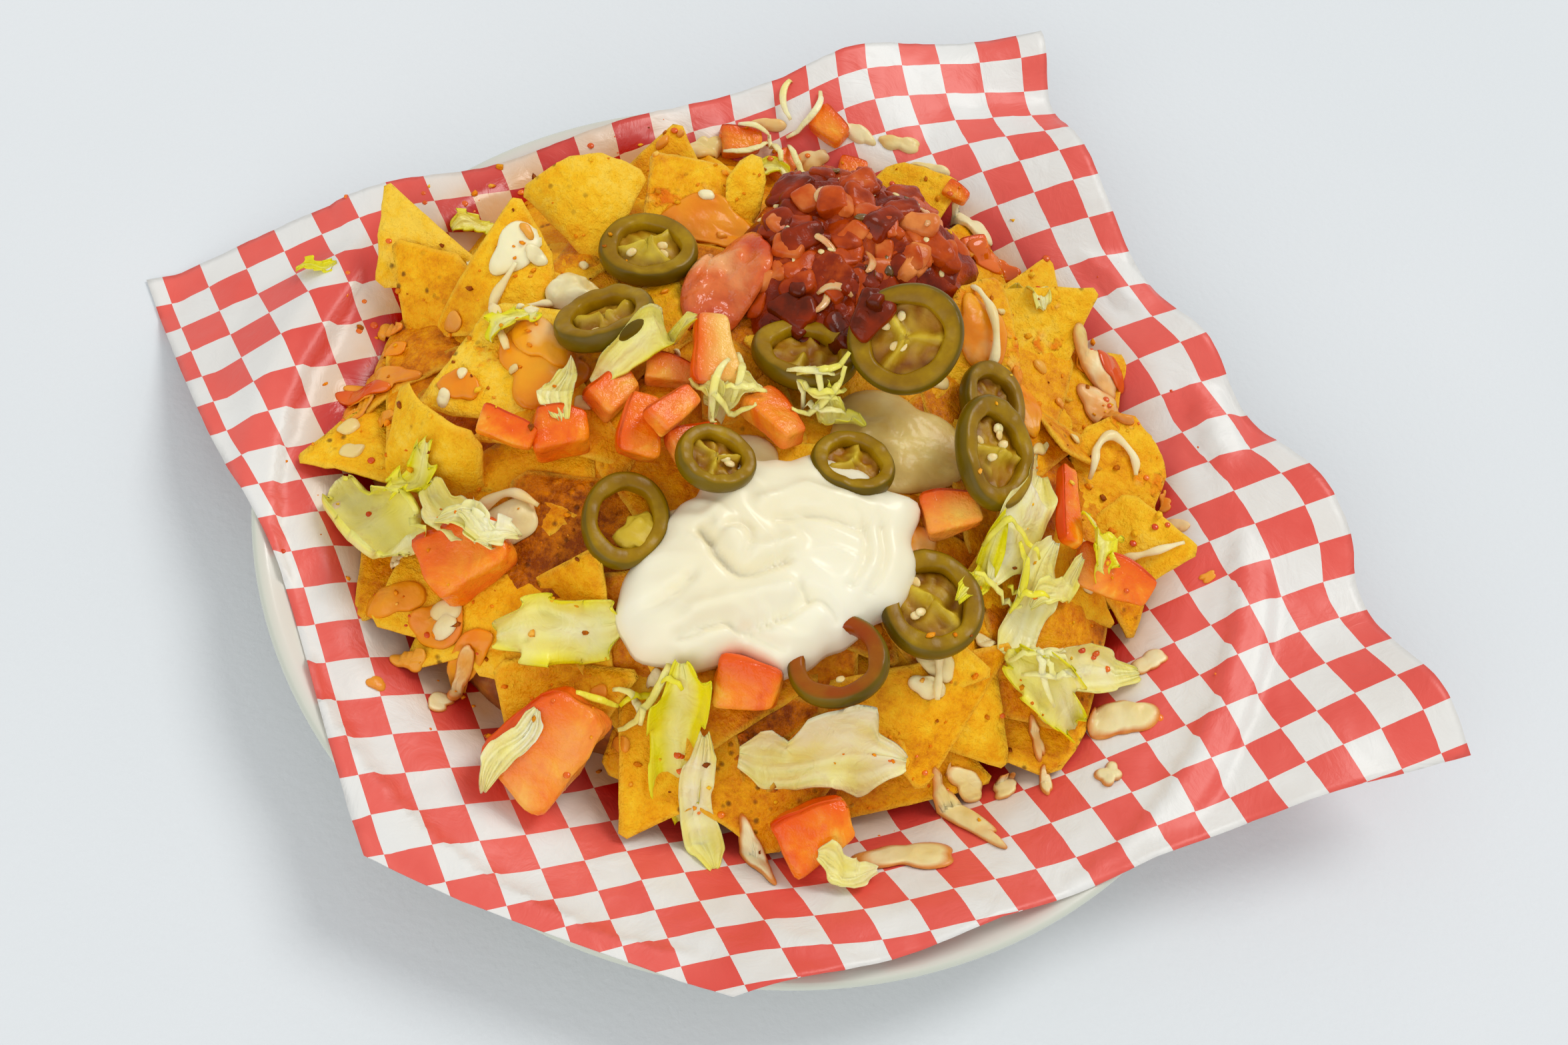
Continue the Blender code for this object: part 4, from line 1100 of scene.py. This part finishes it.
tomato_flesh = ripe.mix(paler, tomato_flesh, tint(250, 194, 96))
near_skin = ripe.ramp(ripe.attribute("skin"), (0.35, 0.0), (0.9, 0.85))
tomato_flesh = ripe.mix(near_skin, tomato_flesh, tint(238, 82, 0))
tomato_skin = ripe.ramp(ripe.noise(14, 2), (0.35, tint(222, 62, 0)), (0.65, tint(242, 94, 0)))
on_outside = ripe.ramp(ripe.attribute("skin"), (0.9, 0.0), (0.96, 1.0))
ripe.look(Base_Color=ripe.mix(on_outside, tomato_flesh, tomato_skin))
pulp = ripe.bump(ripe.noise(7, 2), 1.2)
ripe.bump(ripe.maths("MULTIPLY", ripe.noise(2.2, 4, 0.6), ripe.ramp(on_outside, (0.0, 1.0), (1.0, 0.1))), 1.0, pulp)


def block(size, seed, cuts=7, square=9.0, drawn=0.3, rough=0.5):
    """A rounded block, drawn in towards +x, with uneven faces. Gives points, faces and its skin side."""
    bm = bmesh.new()
    bmesh.ops.create_cube(bm, size=2)
    bmesh.ops.subdivide_edges(bm, edges=bm.edges, cuts=cuts, use_grid_fill=True)
    points, faces = taken(bm)
    rounded = points / (np.abs(points) ** square).sum(1)[:, None] ** (1 / square)
    on_skin = np.clip((rounded[:, 1] + 1) / 2, 0, 1)
    rounded[:, 1] *= 1 - drawn * (rounded[:, 0] + 1) / 2
    rounded[:, 2] *= 1 - 0.6 * drawn * (rounded[:, 0] + 1) / 2
    rounded[:, 1] += 0.12 * (1 - rounded[:, 0] ** 2) * (rounded[:, 1] > 0)
    shape = rounded * np.array(size) / 2
    shift = Vector((seed * 3.3, seed * 1.7, seed * 5.1))
    for index, spot in enumerate(shape):
        shape[index] *= 1 + rough * 0.16 * noise.noise(Vector(spot) / 8 + shift) * 2
        shape[index, 2] += rough * 0.5 * noise.noise(Vector(spot) / 2.4 + shift)
    return shape, faces, on_skin


for number, (length, width, height, lean, towards, turn) in enumerate(DICE, 1):
    node = f"tomato_{number}"
    points, faces, on_skin = block((length, width, height), number, 9)
    points = moved(resting(node, lean, towards, turn), points)
    shape = Joined()
    shape.add(points, faces, skin=on_skin, paler=PALER.get(number, 0.1))
    shape.piece(f"tomato_dice_{number}", ripe, "tomato", [node])
    lay(points, faces)

# more of the same loose at the back, on the paper: x, y, length, width, height, turn
BACK_DICE = (
    (-41, 124, 13, 10, 7, 20),
    (-15, 138, 12, 10, 6, -30),
    (-26, 119, 12, 9, 7, 70),
    (-4, 128, 9, 8, 5, 10),
    (40, 108, 9, 7, 5, 40),
    (30, 124, 8, 6, 4, -20),
)
loose_dice = Joined()
for number, (x, y, length, width, height, turn) in enumerate(BACK_DICE):
    points, faces, on_skin = block((length, width, height), 50 + number, 6)
    place = Matrix.Translation((x, y, top(x, y) + height * 0.4)) @ Matrix.Rotation(math.radians(turn), 4, "Z")
    points = moved(place @ Matrix.Rotation(0.25, 4, "X"), points)
    loose_dice.add(points, faces, skin=on_skin, paler=0.3)
    lay(points, faces)
loose_dice.piece("tomato_loose", ripe, "tomato")

# ---------------------------------------------------------------- lettuce
# Shredded lettuce, wilted by the heat: ribbons about 0.6 mm thick with a pale ribbed middle and
# ruffled yellow-green edges, rolled across, then let down onto the pile.

# x, y, length, width, curl, rise, lean, towards, turn, green, ruffle
LEAVES = (
    (-103, -46, 40, 34, 16, 4, 10, -120, -35, 0.42, 3.0),
    (-82, -45, 26, 14, 4, 2, 30, -110, -50, 0.2, 0.9),
    (-44, -68, 34, 16, 8, 4, 24, -100, 15, 0.55, 2.6),
    (-5, -86, 38, 16, 7, 4, 36, -90, -72, 0.95, 2.0),
    (6, -99, 30, 10, 3, 3, 26, -80, -65, 0.3, 0.8),
    (34, -79, 46, 12, 5, 2, 30, -80, 16, 0.1, 0.9),
    (-45, 10, 34, 11, 7, 2, 10, -80, 45, 0.5, 0.8),
    (-63, -10, 20, 9, 3, 1, 12, -80, 100, 0.3, 0.8),
    (-83, 11, 16, 8, 3, 2, 14, 170, 55, 0.7, 1.4),
    (70, -1, 42, 14, 5, 2, 20, 0, 78, 0.25, 0.8),
    (62, -22, 26, 7, 2, 2, 10, -10, 75, 0.9, 0.8),
    (78, -19, 34, 14, 5, 2, 24, -20, 80, 0.15, 0.7),
    (99, -27, 42, 13, 5, 3, 22, -40, 25, 0.35, 1.0),
    (90, -39, 28, 20, 11, 5, 22, -70, -15, 0.6, 3.4),
    (95, 5, 18, 11, 4, 3, 20, -10, -40, 0.85, 2.0),
)
# smaller scraps, the same way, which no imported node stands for
SCRAPS = (
    (-151, 35, 12, 5, 2, 1, 0, 0, 20, 0.9, 0.8),
    (48, -105, 17, 9, 3, 1, 0, 0, 10, 0.1, 0.5),
    (12, 10, 16, 7, 3, 1, 0, 0, -20, 0.5, 1.0),
    (-17, 3, 18, 6, 3, 1, 0, 0, 30, 0.15, 0.5),
    (-24, 0, 13, 5, 2, 1, 0, 0, -50, 0.1, 0.5),
    (-75, -52, 20, 9, 4, 2, 0, 0, -10, 0.2, 0.8),
    (-47, -103, 22, 8, 4, 2, 0, 0, 70, 0.1, 0.6),
    (-97, -36, 13, 9, 4, 2, 0, 0, 60, 0.6, 2.0),
    (-70, -52, 16, 9, 3, 2, 0, 0, 0, 0.1, 1.2),
    (20, 108, 18, 7, 3, 1, 0, 0, -10, 0.5, 1.0),
    (-30, 112, 16, 6, 3, 1, 0, 0, 20, 0.6, 1.0),
    (60, 88, 18, 8, 3, 1, 0, 0, -50, 0.5, 1.2),
    (-110, 60, 14, 6, 2, 1, 0, 0, 40, 0.6, 1.0),
    (86, -12, 22, 6, 3, 1, 0, 0, 60, 0.3, 0.8),
)
# the leaves that are rolled, and by how much each side turns up, in radians
ROLLED = {1: 2.3, 2: 1.2, 3: 1.3, 4: 1.3, 6: 1.0, 7: 1.6, 10: 1.2, 12: 1.2, 13: 1.4, 14: 1.8}
leaf = Finish("wilted_lettuce", 0.3, Subsurface_Weight=0.35, Subsurface_Scale=0.002, Specular_IOR_Level=0.35)
leaf.look(Subsurface_Radius=(0.9, 1.0, 0.3))
leaf_white = leaf.ramp(leaf.noise(8, 3), (0.3, tint(252, 242, 140)), (0.7, tint(255, 254, 212)))
leaf_green = leaf.ramp(
    leaf.noise(7, 3), (0.3, tint(218, 210, 0)), (0.5, tint(244, 234, 4)), (0.72, tint(255, 248, 60))
)
greening = leaf.maths("ADD", leaf.attribute("green"), leaf.maths("MULTIPLY_ADD", leaf.noise(11, 3), 0.8, -0.4))
leaf_tone = leaf.mix(leaf.ramp(greening, (0.2, 0.0), (0.8, 1.0)), leaf_white, leaf_green)
streak = leaf.ramp(leaf.maths("MULTIPLY_ADD", leaf.maths("SINE", leaf.attribute("vein")), 0.5, 0.5), (0.1, 0.0), (0.9, 1.0))
streak = leaf.maths("MULTIPLY", streak, leaf.ramp(leaf.noise(7, 2), (0.35, 0.05), (0.65, 0.36)))
leaf_tone = leaf.mix(streak, leaf_tone, tint(222, 196, 56))
wilt = leaf.ramp(leaf.noise(4, 4, 0.65), (0.62, 0.0), (0.74, 0.28))
leaf.look(Base_Color=leaf.mix(wilt, leaf_tone, tint(188, 128, 44)))
veins = leaf.bump(streak, 0.9)
leaf.bump(leaf.noise(3.2, 3, 0.55, 1.0), 0.9, veins)


def ribbon(row, seed, long_steps=44, wide_steps=14):
    """A leaf strip laid on the pile. Gives points, faces and how green each point is."""
    x, y, length, width, curl, rise, lean, towards, turn, green, ruffle = row
    axis = Vector((-math.sin(math.radians(towards)), math.cos(math.radians(towards)), 0))
    tilt = Matrix.Rotation(math.radians(lean), 3, axis) @ Matrix.Rotation(math.radians(turn), 3, "Z")
    place, greens, veins = [], [], []
    for i in range(long_steps + 1):
        along = 2 * i / long_steps - 1
        taper = (1 - abs(along) ** 3 * 0.75) * (1 + 0.12 * math.sin(5 * along + seed))
        for j in range(wide_steps + 1):
            across = 2 * j / wide_steps - 1
            wave = ruffle * abs(across) ** 2 * math.sin(7 * along + 2.2 * across + seed * 1.7)
            wave += 0.35 * ruffle * abs(across) ** 3 * math.sin(15 * along + seed * 3)
            rib = 0.7 * math.exp(-((across / 0.18) ** 2))
            flat_y, up_z = across * width / 2, curl * across**2
            if seed in ROLLED:
                round_by = ROLLED[seed]
                flat_y = width / 2 / round_by * 1.25 * math.sin(round_by * across)
                up_z = width / 2 / round_by * 1.25 * (1 - math.cos(round_by * across))
            local = Vector(
                (
                    along * length / 2 + 0.8 * ruffle * abs(across) ** 3 * math.cos(14 * along + seed),
                    flat_y * taper + 1.5 * math.sin(3 * along + seed),
                    up_z * taper + rise * math.sin(2.5 * along + seed) + wave + rib,
                )
            )
            local = tilt @ local
            place.append((x + local.x, y + local.y, local.z * 0.7))
            veins.append(13 * across + (3 if across > 0 else -3) * along)
            greens.append(0.12 + green * (0.45 + 0.75 * abs(across) ** 1.3))
    place = np.array(place)
    rows, cols = np.arange(0, long_steps + 1, 4), np.arange(0, wide_steps + 1, 7)
    coarse = np.zeros((len(rows), len(cols)))
    for a, i in enumerate(rows):
        for b, j in enumerate(cols):
            spot = place[i * (wide_steps + 1) + j]
            coarse[a, b] = bed(spot[0], spot[1], 3.5)
    wide = np.array([np.interp(np.arange(wide_steps + 1), cols, line) for line in coarse])
    under = np.array([np.interp(np.arange(long_steps + 1), rows, line) for line in wide.T]).T
    place[:, 2] += under.ravel() - min(0, place[:, 2].min()) * 0.4 + 0.7
    faces = []
    for i in range(long_steps):
        for j in range(wide_steps):
            a = i * (wide_steps + 1) + j
            faces.append([a, a + wide_steps + 1, a + wide_steps + 2, a + 1])
    points, faces = slab(place, faces, np.array((0.0, 0.0, 1.0)), 0.7, 0.0)
    return points, faces, np.r_[greens, greens], np.r_[veins, veins]


for number, row in enumerate(LEAVES + SCRAPS, 1):
    points, faces, green, vein = ribbon(row, number)
    shape = Joined()
    shape.add(points, faces, green=green, vein=vein)
    stands_for = (f"lettuce_{number}",) if number <= len(LEAVES) else ()
    shape.piece(f"lettuce_strip_{number}", leaf, "lettuce", stands_for)
    lay(points, faces)

shreds = Joined()
dice = random.Random(47)
# x, y and how far they scatter, how many, and how green
SHREDS = (
    (4, 13, 5, 7, 0.5),
    (-17, 3, 6, 4, 0.3),
    (70, -18, 6, 4, 0.8),
    (-22, -84, 8, 4, 0.7),
    (88, -38, 8, 5, 0.3),
    (-30, 126, 20, 7, 0.2),
)
for x, y, spread, count, green in SHREDS:
    for _ in range(count):
        heading, half, bend = dice.uniform(0, 6.3), dice.uniform(5, 10), dice.uniform(-4, 4)
        mx, my = x + dice.gauss(0, spread / 2), y + dice.gauss(0, spread / 2)
        path = []
        for t in np.linspace(-1, 1, 13):
            px = mx + half * t * math.cos(heading) - bend * (1 - t * t) * math.sin(heading)
            py = my + half * t * math.sin(heading) + bend * (1 - t * t) * math.cos(heading)
            path.append((px, py, bed(px, py, 2) + 1.2 + 1.5 * (1 - t * t)))
        points, faces = strand(path, 0.5 + 0.7 * np.cos(np.linspace(-1.4, 1.4, 13)), 8, 0.4)
        shreds.add(points, faces, green=green * dice.uniform(0.4, 1.2), vein=0.0)
shreds.piece("lettuce_shreds", leaf, "lettuce")

# ---------------------------------------------------------------- salsa
# A spooned mound of cooked salsa: a wet dark red base, lumpy with tomato dice, arcs of onion, pepper
# bits and flat seeds, all bedded in its surface, and a slice of tomato leaning on its left side.

SALSA_CENTRE = (4.0, 67.0)
# radii of its outline in mm, every 22.5 degrees from +X anticlockwise
SALSA_RADII = [36, 39, 34, 34, 37, 38, 36, 32, 33, 35, 36, 40, 38, 24, 18, 20]
wet_red = Finish("salsa_base", 0.2, Specular_IOR_Level=0.22)
base_tone = wet_red.ramp(
    wet_red.noise(6, 4, 0.6), (0.3, tint(92, 22, 0)), (0.5, tint(140, 40, 0)), (0.68, tint(196, 80, 14))
)
wet_red.look(Base_Color=base_tone)
wet_red.bump(wet_red.noise(3, 4, 0.6), 1.0)


def mound(centre, radii, rise, base, edge, relief, rings=30, steps=96):
    """A soft mound whose outline has its radii at even angles. base gives the height of its underside,
    rise its swell, edge how steeply it starts, and relief its lumps and folds."""
    turns = np.arange(len(radii) + 1) * 2 * math.pi / len(radii)
    closed = smooth_path([(t, r) for t, r in zip(turns, radii + radii[:1])], 400)
    upper = []
    for ring in range(rings + 1):
        share = (ring / rings) ** 0.75
        for step in range(steps if ring else 1):
            a = 2 * math.pi * step / steps
            ragged = 1 + 0.11 * share * noise.noise(Vector((math.cos(a) * 4, math.sin(a) * 4, rise)))
            out = share * ragged * float(np.interp(a, closed[:, 0], closed[:, 1]))
            upper.append((centre[0] + out * math.cos(a), centre[1] + out * math.sin(a), share))
    points, lower = [], []
    for x, y, share in upper:
        under = base(x, y)
        swell = rise * (1 - min(share, 0.999) ** edge) ** 0.55
        points.append((x, y, under + swell + relief(x, y) * min(1, (1 - share) * 5)))
        lower.append((x, y, under - 2))
    faces = [[0, 1 + k, 1 + (k + 1) % steps] for k in range(steps)]
    for ring in range(1, rings):
        a, b = 1 + (ring - 1) * steps, 1 + ring * steps
        faces += [[a + k, b + k, b + (k + 1) % steps, a + (k + 1) % steps] for k in range(steps)]
    count = len(points)
    last = 1 + (rings - 1) * steps
    whole = faces + [[i + count for i in reversed(face)] for face in faces]
    for k in range(steps):
        a, b = last + k, last + (k + 1) % steps
        whole.append([b, a, a + count, b + count])
    return np.array(points + lower), whole


def salsa_base(x, y):
    return 56.0 - 0.04 * (y - 60)


def salsa_relief(x, y):
    spot = Vector((x, y, 0))
    return 4.0 * noise.noise(spot / 10) + 2.0 * noise.noise(spot / 4 + Vector((5, 0, 0)))


points, faces = mound(SALSA_CENTRE, SALSA_RADII, 15, salsa_base, 2.4, salsa_relief)
made("salsa_mound", points, faces, wet_red, ["salsa"])
lay(points, faces)

diced = Joined()
onions = Joined()
greens = Joined()
seeds = Joined()
dice = random.Random(21)


def salsa_spot(most=0.93):
    """A random place on the salsa, with the way its surface faces."""
    a = dice.uniform(0, 16)
    out = math.sqrt(dice.uniform(0, 1)) * most * SALSA_RADII[int(a)]
    x = SALSA_CENTRE[0] + out * math.cos(a * math.pi / 8)
    y = SALSA_CENTRE[1] + out * math.sin(a * math.pi / 8)
    z = top(x, y)
    up = Vector((top(x - 2, y) - top(x + 2, y), top(x, y - 2) - top(x, y + 2), 6)).normalized()
    return x, y, z, up


def on_surface(x, y, z, up, spin, sunk=0.0):
    return Matrix.Translation(Vector((x, y, z)) - up * sunk) @ up.to_track_quat("Z", "Y").to_matrix().to_4x4() @ Matrix.Rotation(spin, 4, "Z")


for number in range(105):
    x, y, z, up = salsa_spot(1.0)
    big = dice.uniform(0.55, 1.25)
    size = [dice.uniform(8, 13) * big, dice.uniform(6, 9) * big, dice.uniform(4, 7) * big]
    points, faces, on_skin = block(size, number, 5, 5.0, 0.3, 1.4)
    points = moved(on_surface(x, y, z, up, dice.uniform(0, 6.3), dice.uniform(0.2, 2.4)), points)
    syrup = math.exp(-(((x - 2) / 22) ** 2) - ((y - 34) / 16) ** 2)
    diced.add(points, faces, skin=on_skin, tone=dice.uniform(0, 1) * (1 - syrup) - 0.25 * syrup)
for number in range(7):
    x, y, z, up = salsa_spot(0.7)
    bend, half_long = dice.uniform(0.4, 1.3), dice.uniform(4, 8)
    spots = [(half_long * t, bend * 2.2 * (1 - t * t), 0.6 * (1 - t * t)) for t in np.linspace(-1, 1, 9)]
    points, faces = strand(spots, [0.5, 0.9, 1.1, 1.2, 1.2, 1.2, 1.1, 0.9, 0.5], 8, 0.55)
    onions.add(moved(on_surface(x, y, z + 1.3, up, dice.uniform(0, 6.3)), points), faces)
for number in range(14):
    x, y, z, up = salsa_spot(0.9)
    points, faces = pebble((dice.uniform(3, 6), dice.uniform(1.6, 3), 1.2), number, 2, 0.25)
    greens.add(moved(on_surface(x, y, z + 0.9, up, dice.uniform(0, 6.3)), points), faces)
for number in range(34):
    x, y, z, up = salsa_spot(0.95)
    points, faces = pebble((2.4, 1.9, 0.8), number, 2, 0.1)
    seeds.add(moved(on_surface(x, y, z + 0.5, up, dice.uniform(0, 6.3)), points), faces)

chunk = Finish("salsa_chunk", 0.22, Specular_IOR_Level=0.22)
chunk_tone = chunk.maths("MULTIPLY", chunk.attribute("tone"), 0.6)
chunk_tone = chunk.maths("ADD", chunk_tone, chunk.maths("MULTIPLY_ADD", chunk.noise(4, 4), 0.9, -0.25))
chunk_colour = chunk.ramp(
    chunk_tone,
    (0.05, tint(90, 26, 0)),
    (0.3, tint(146, 42, 0)),
    (0.55, tint(198, 76, 10)),
    (0.95, tint(240, 150, 74)),
)
chunk.look(Base_Color=chunk_colour)
chunk.bump(chunk.noise(2.2, 3), 0.5)
onion = Finish("cooked_onion", 0.2, Subsurface_Weight=0.5, Subsurface_Scale=0.003, Coat_Weight=0.4)
onion.look(Base_Color=onion.ramp(onion.noise(5, 2), (0.3, tint(222, 140, 70)), (0.7, tint(240, 190, 130))))
green_bit = Finish("green_pepper_bit", 0.25, Coat_Weight=0.4)
green_bit.look(Base_Color=green_bit.ramp(green_bit.noise(3, 2), (0.3, tint(96, 62, 4)), (0.7, tint(138, 98, 16))))
diced.piece("salsa_tomato", chunk, "salsa")
onions.piece("salsa_onion", onion, "salsa")
greens.piece("salsa_pepper", green_bit, "salsa")
seeds.piece("salsa_seeds", seed_skin, "salsa")

slice_face = Finish("tomato_slice", 0.2, Subsurface_Weight=0.1, Subsurface_Scale=0.002)
slice_tone = slice_face.ramp(
    slice_face.noise(9, 3, 0.5, 0.8), (0.3, tint(208, 66, 14)), (0.52, tint(234, 118, 52)), (0.72, tint(248, 180, 116))
)
slice_face.look(Base_Color=slice_tone)
slice_face.bump(slice_face.noise(5, 4, 0.6), 1.8)
points, faces, out = melt(-31, 45, 40, 24, 3.4, 74, 77, 0.12, 3.5, 14, 56)
made("tomato_slice", points, faces, slice_face)
lay(points, faces)

# ---------------------------------------------------------------- sour cream
# One spooned dollop, warm white and glossy, with a lobed edge, soft folds across its top and a drip
# at the front. The folds are grooves and ridges drawn along strokes.

# strokes as corners, half-width in mm and depth in mm: below 0 is a groove, above 0 a ridge
FOLDS = (
    (((-14, -38), (-8, -44), (0, -47), (9, -41)), 2.6, -3.2),
    (((-13, -34), (-6, -39), (2, -41), (10, -36)), 4.0, 2.6),
    (((-12, -67), (-2, -61), (3, -61), (13, -55), (18, -49)), 2.4, -2.8),
    (((-10, -61), (0, -55), (12, -49)), 4.0, 2.4),
    (((0, -68), (6, -62), (15, -63)), 2.2, -2.2),
    (((-1, -27), (9, -20), (18, -20), (28, -19)), 3.2, 1.8),
    (((4, -30), (14, -26), (26, -26)), 2.2, -2.0),
    (((32, -23), (35, -32), (34, -41)), 2.0, -1.8),
    (((27, -24), (30, -33), (28, -42)), 2.0, -1.6),
    (((-26, -64), (-19, -59), (-14, -52)), 2.4, -2.4),
    (((-15, -76), (-7, -75), (-2, -70)), 2.2, -2.0),
    (((16, -47), (22, -48), (27, -51)), 2.2, -2.2),
    (((-11, -40), (-6, -35), (-2, -36), (-1, -43)), 1.8, -1.4),
)
dairy = Finish("sour_cream", 0.32, Subsurface_Weight=0.3, Subsurface_Scale=0.004)
dairy.look(Subsurface_Radius=(1.0, 0.85, 0.6))
dairy.look(Base_Color=dairy.ramp(dairy.noise(30, 2), (0.35, tint(248, 238, 204)), (0.65, tint(252, 246, 222))))
dairy.bump(dairy.noise(7, 3, 0.45), 0.35)


CREAM_CENTRE = (6.0, -40.0)
# radii of its outline in mm, every 22.5 degrees from +X anticlockwise
CREAM_RADII = [37, 42, 43, 38, 34, 32, 32, 31, 32, 41, 42, 34, 25, 29, 28, 28]


def cream_base(x, y):
    return 47.0 + 0.2 * (y + 75)


fold_paths = [(smooth_path(corners, 24), wide, deep) for corners, wide, deep in FOLDS]


def cream_relief(x, y):
    height = 1.2 * noise.noise(Vector((x, y, 3)) / 15)
    height += 0.9 * (1 - 2 * abs(noise.noise(Vector((x * 0.8 + y * 0.4, y * 1.5, 8)) / 9)))
    for path, wide, deep in fold_paths:
        near = np.hypot(path[:, 0] - x, path[:, 1] - y).min()
        height += 1.1 * deep * math.exp(-((near / (0.7 * wide)) ** 2))
    return height


points, faces = mound(CREAM_CENTRE, CREAM_RADII, 12, cream_base, 4.5, cream_relief, 44, 140)
made("sour_cream_dollop", points, faces, dairy, ["sour_cream"])
lay(points, faces)

# ---------------------------------------------------------------- crumbs and drops
# Chip crumbs and browned bits scattered over the paper and the pile, and beads of orange fat.

crumbs = Joined()
beads = Joined()
dice = random.Random(8)
for number in range(420):
    around = dice.uniform(0, 2 * math.pi)
    share = dice.uniform(0.3, 1.0) ** 0.6 * 1.02 + abs(dice.gauss(0, 0.07))
    x = PILE_CENTRE[0] + PILE_HALF[0] * share * math.cos(around)
    y = PILE_CENTRE[1] + PILE_HALF[1] * share * math.sin(around)
    size = dice.choice((0.6, 0.8, 1.0, 1.3, 1.9))
    if math.hypot(x - CREAM_CENTRE[0], y - CREAM_CENTRE[1]) < 46:
        continue
    points, faces = pebble((size * 1.5, size, size * 0.7), number, 1, 0.35)
    spin = Matrix.Translation((x, y, top(x, y) + size * 0.25)) @ Matrix.Rotation(dice.uniform(0, 6.3), 4, "Z")
    crumbs.add(moved(spin, points), faces, tone=dice.uniform(0.2, 1.0), edge=0.0, cheesy=dice.choice((0.0, 1.5)))
for number in range(90):
    around = dice.uniform(0, 2 * math.pi)
    share = 0.95 + abs(dice.gauss(0, 0.12))
    x = PILE_CENTRE[0] + PILE_HALF[0] * share * math.cos(around)
    y = PILE_CENTRE[1] + PILE_HALF[1] * share * math.sin(around)
    size = dice.uniform(0.8, 2.6)
    points, faces = pebble((size, size, size * 0.4), number, 2, 0.05)
    spin = Matrix.Translation((x, y, top(x, y) + size * 0.1))
    beads.add(moved(spin, points), faces)
# red-orange puddles: x, y, length, width, turn
for number, row in enumerate(((48, 108, 18, 11, 20), (90, 80, 18, 8, -60), (-121, -4, 16, 6, 8), (102, 64, 12, 7, -40))):
    x, y, length, width, turn = row
    points, faces, out = melt(x, y, length, width, 0.5, turn, 90 + number, 0.3, 1.0, 8, 40)
    beads.add(points, faces)
fat = Finish("orange_fat", 0.12)
fat.look(Base_Color=fat.ramp(fat.noise(20, 2), (0.4, tint(216, 66, 4)), (0.6, tint(242, 124, 10))))
crumbs.piece("crumbs", fried, "chips")
beads.piece("fat_beads", fat, "cheese")
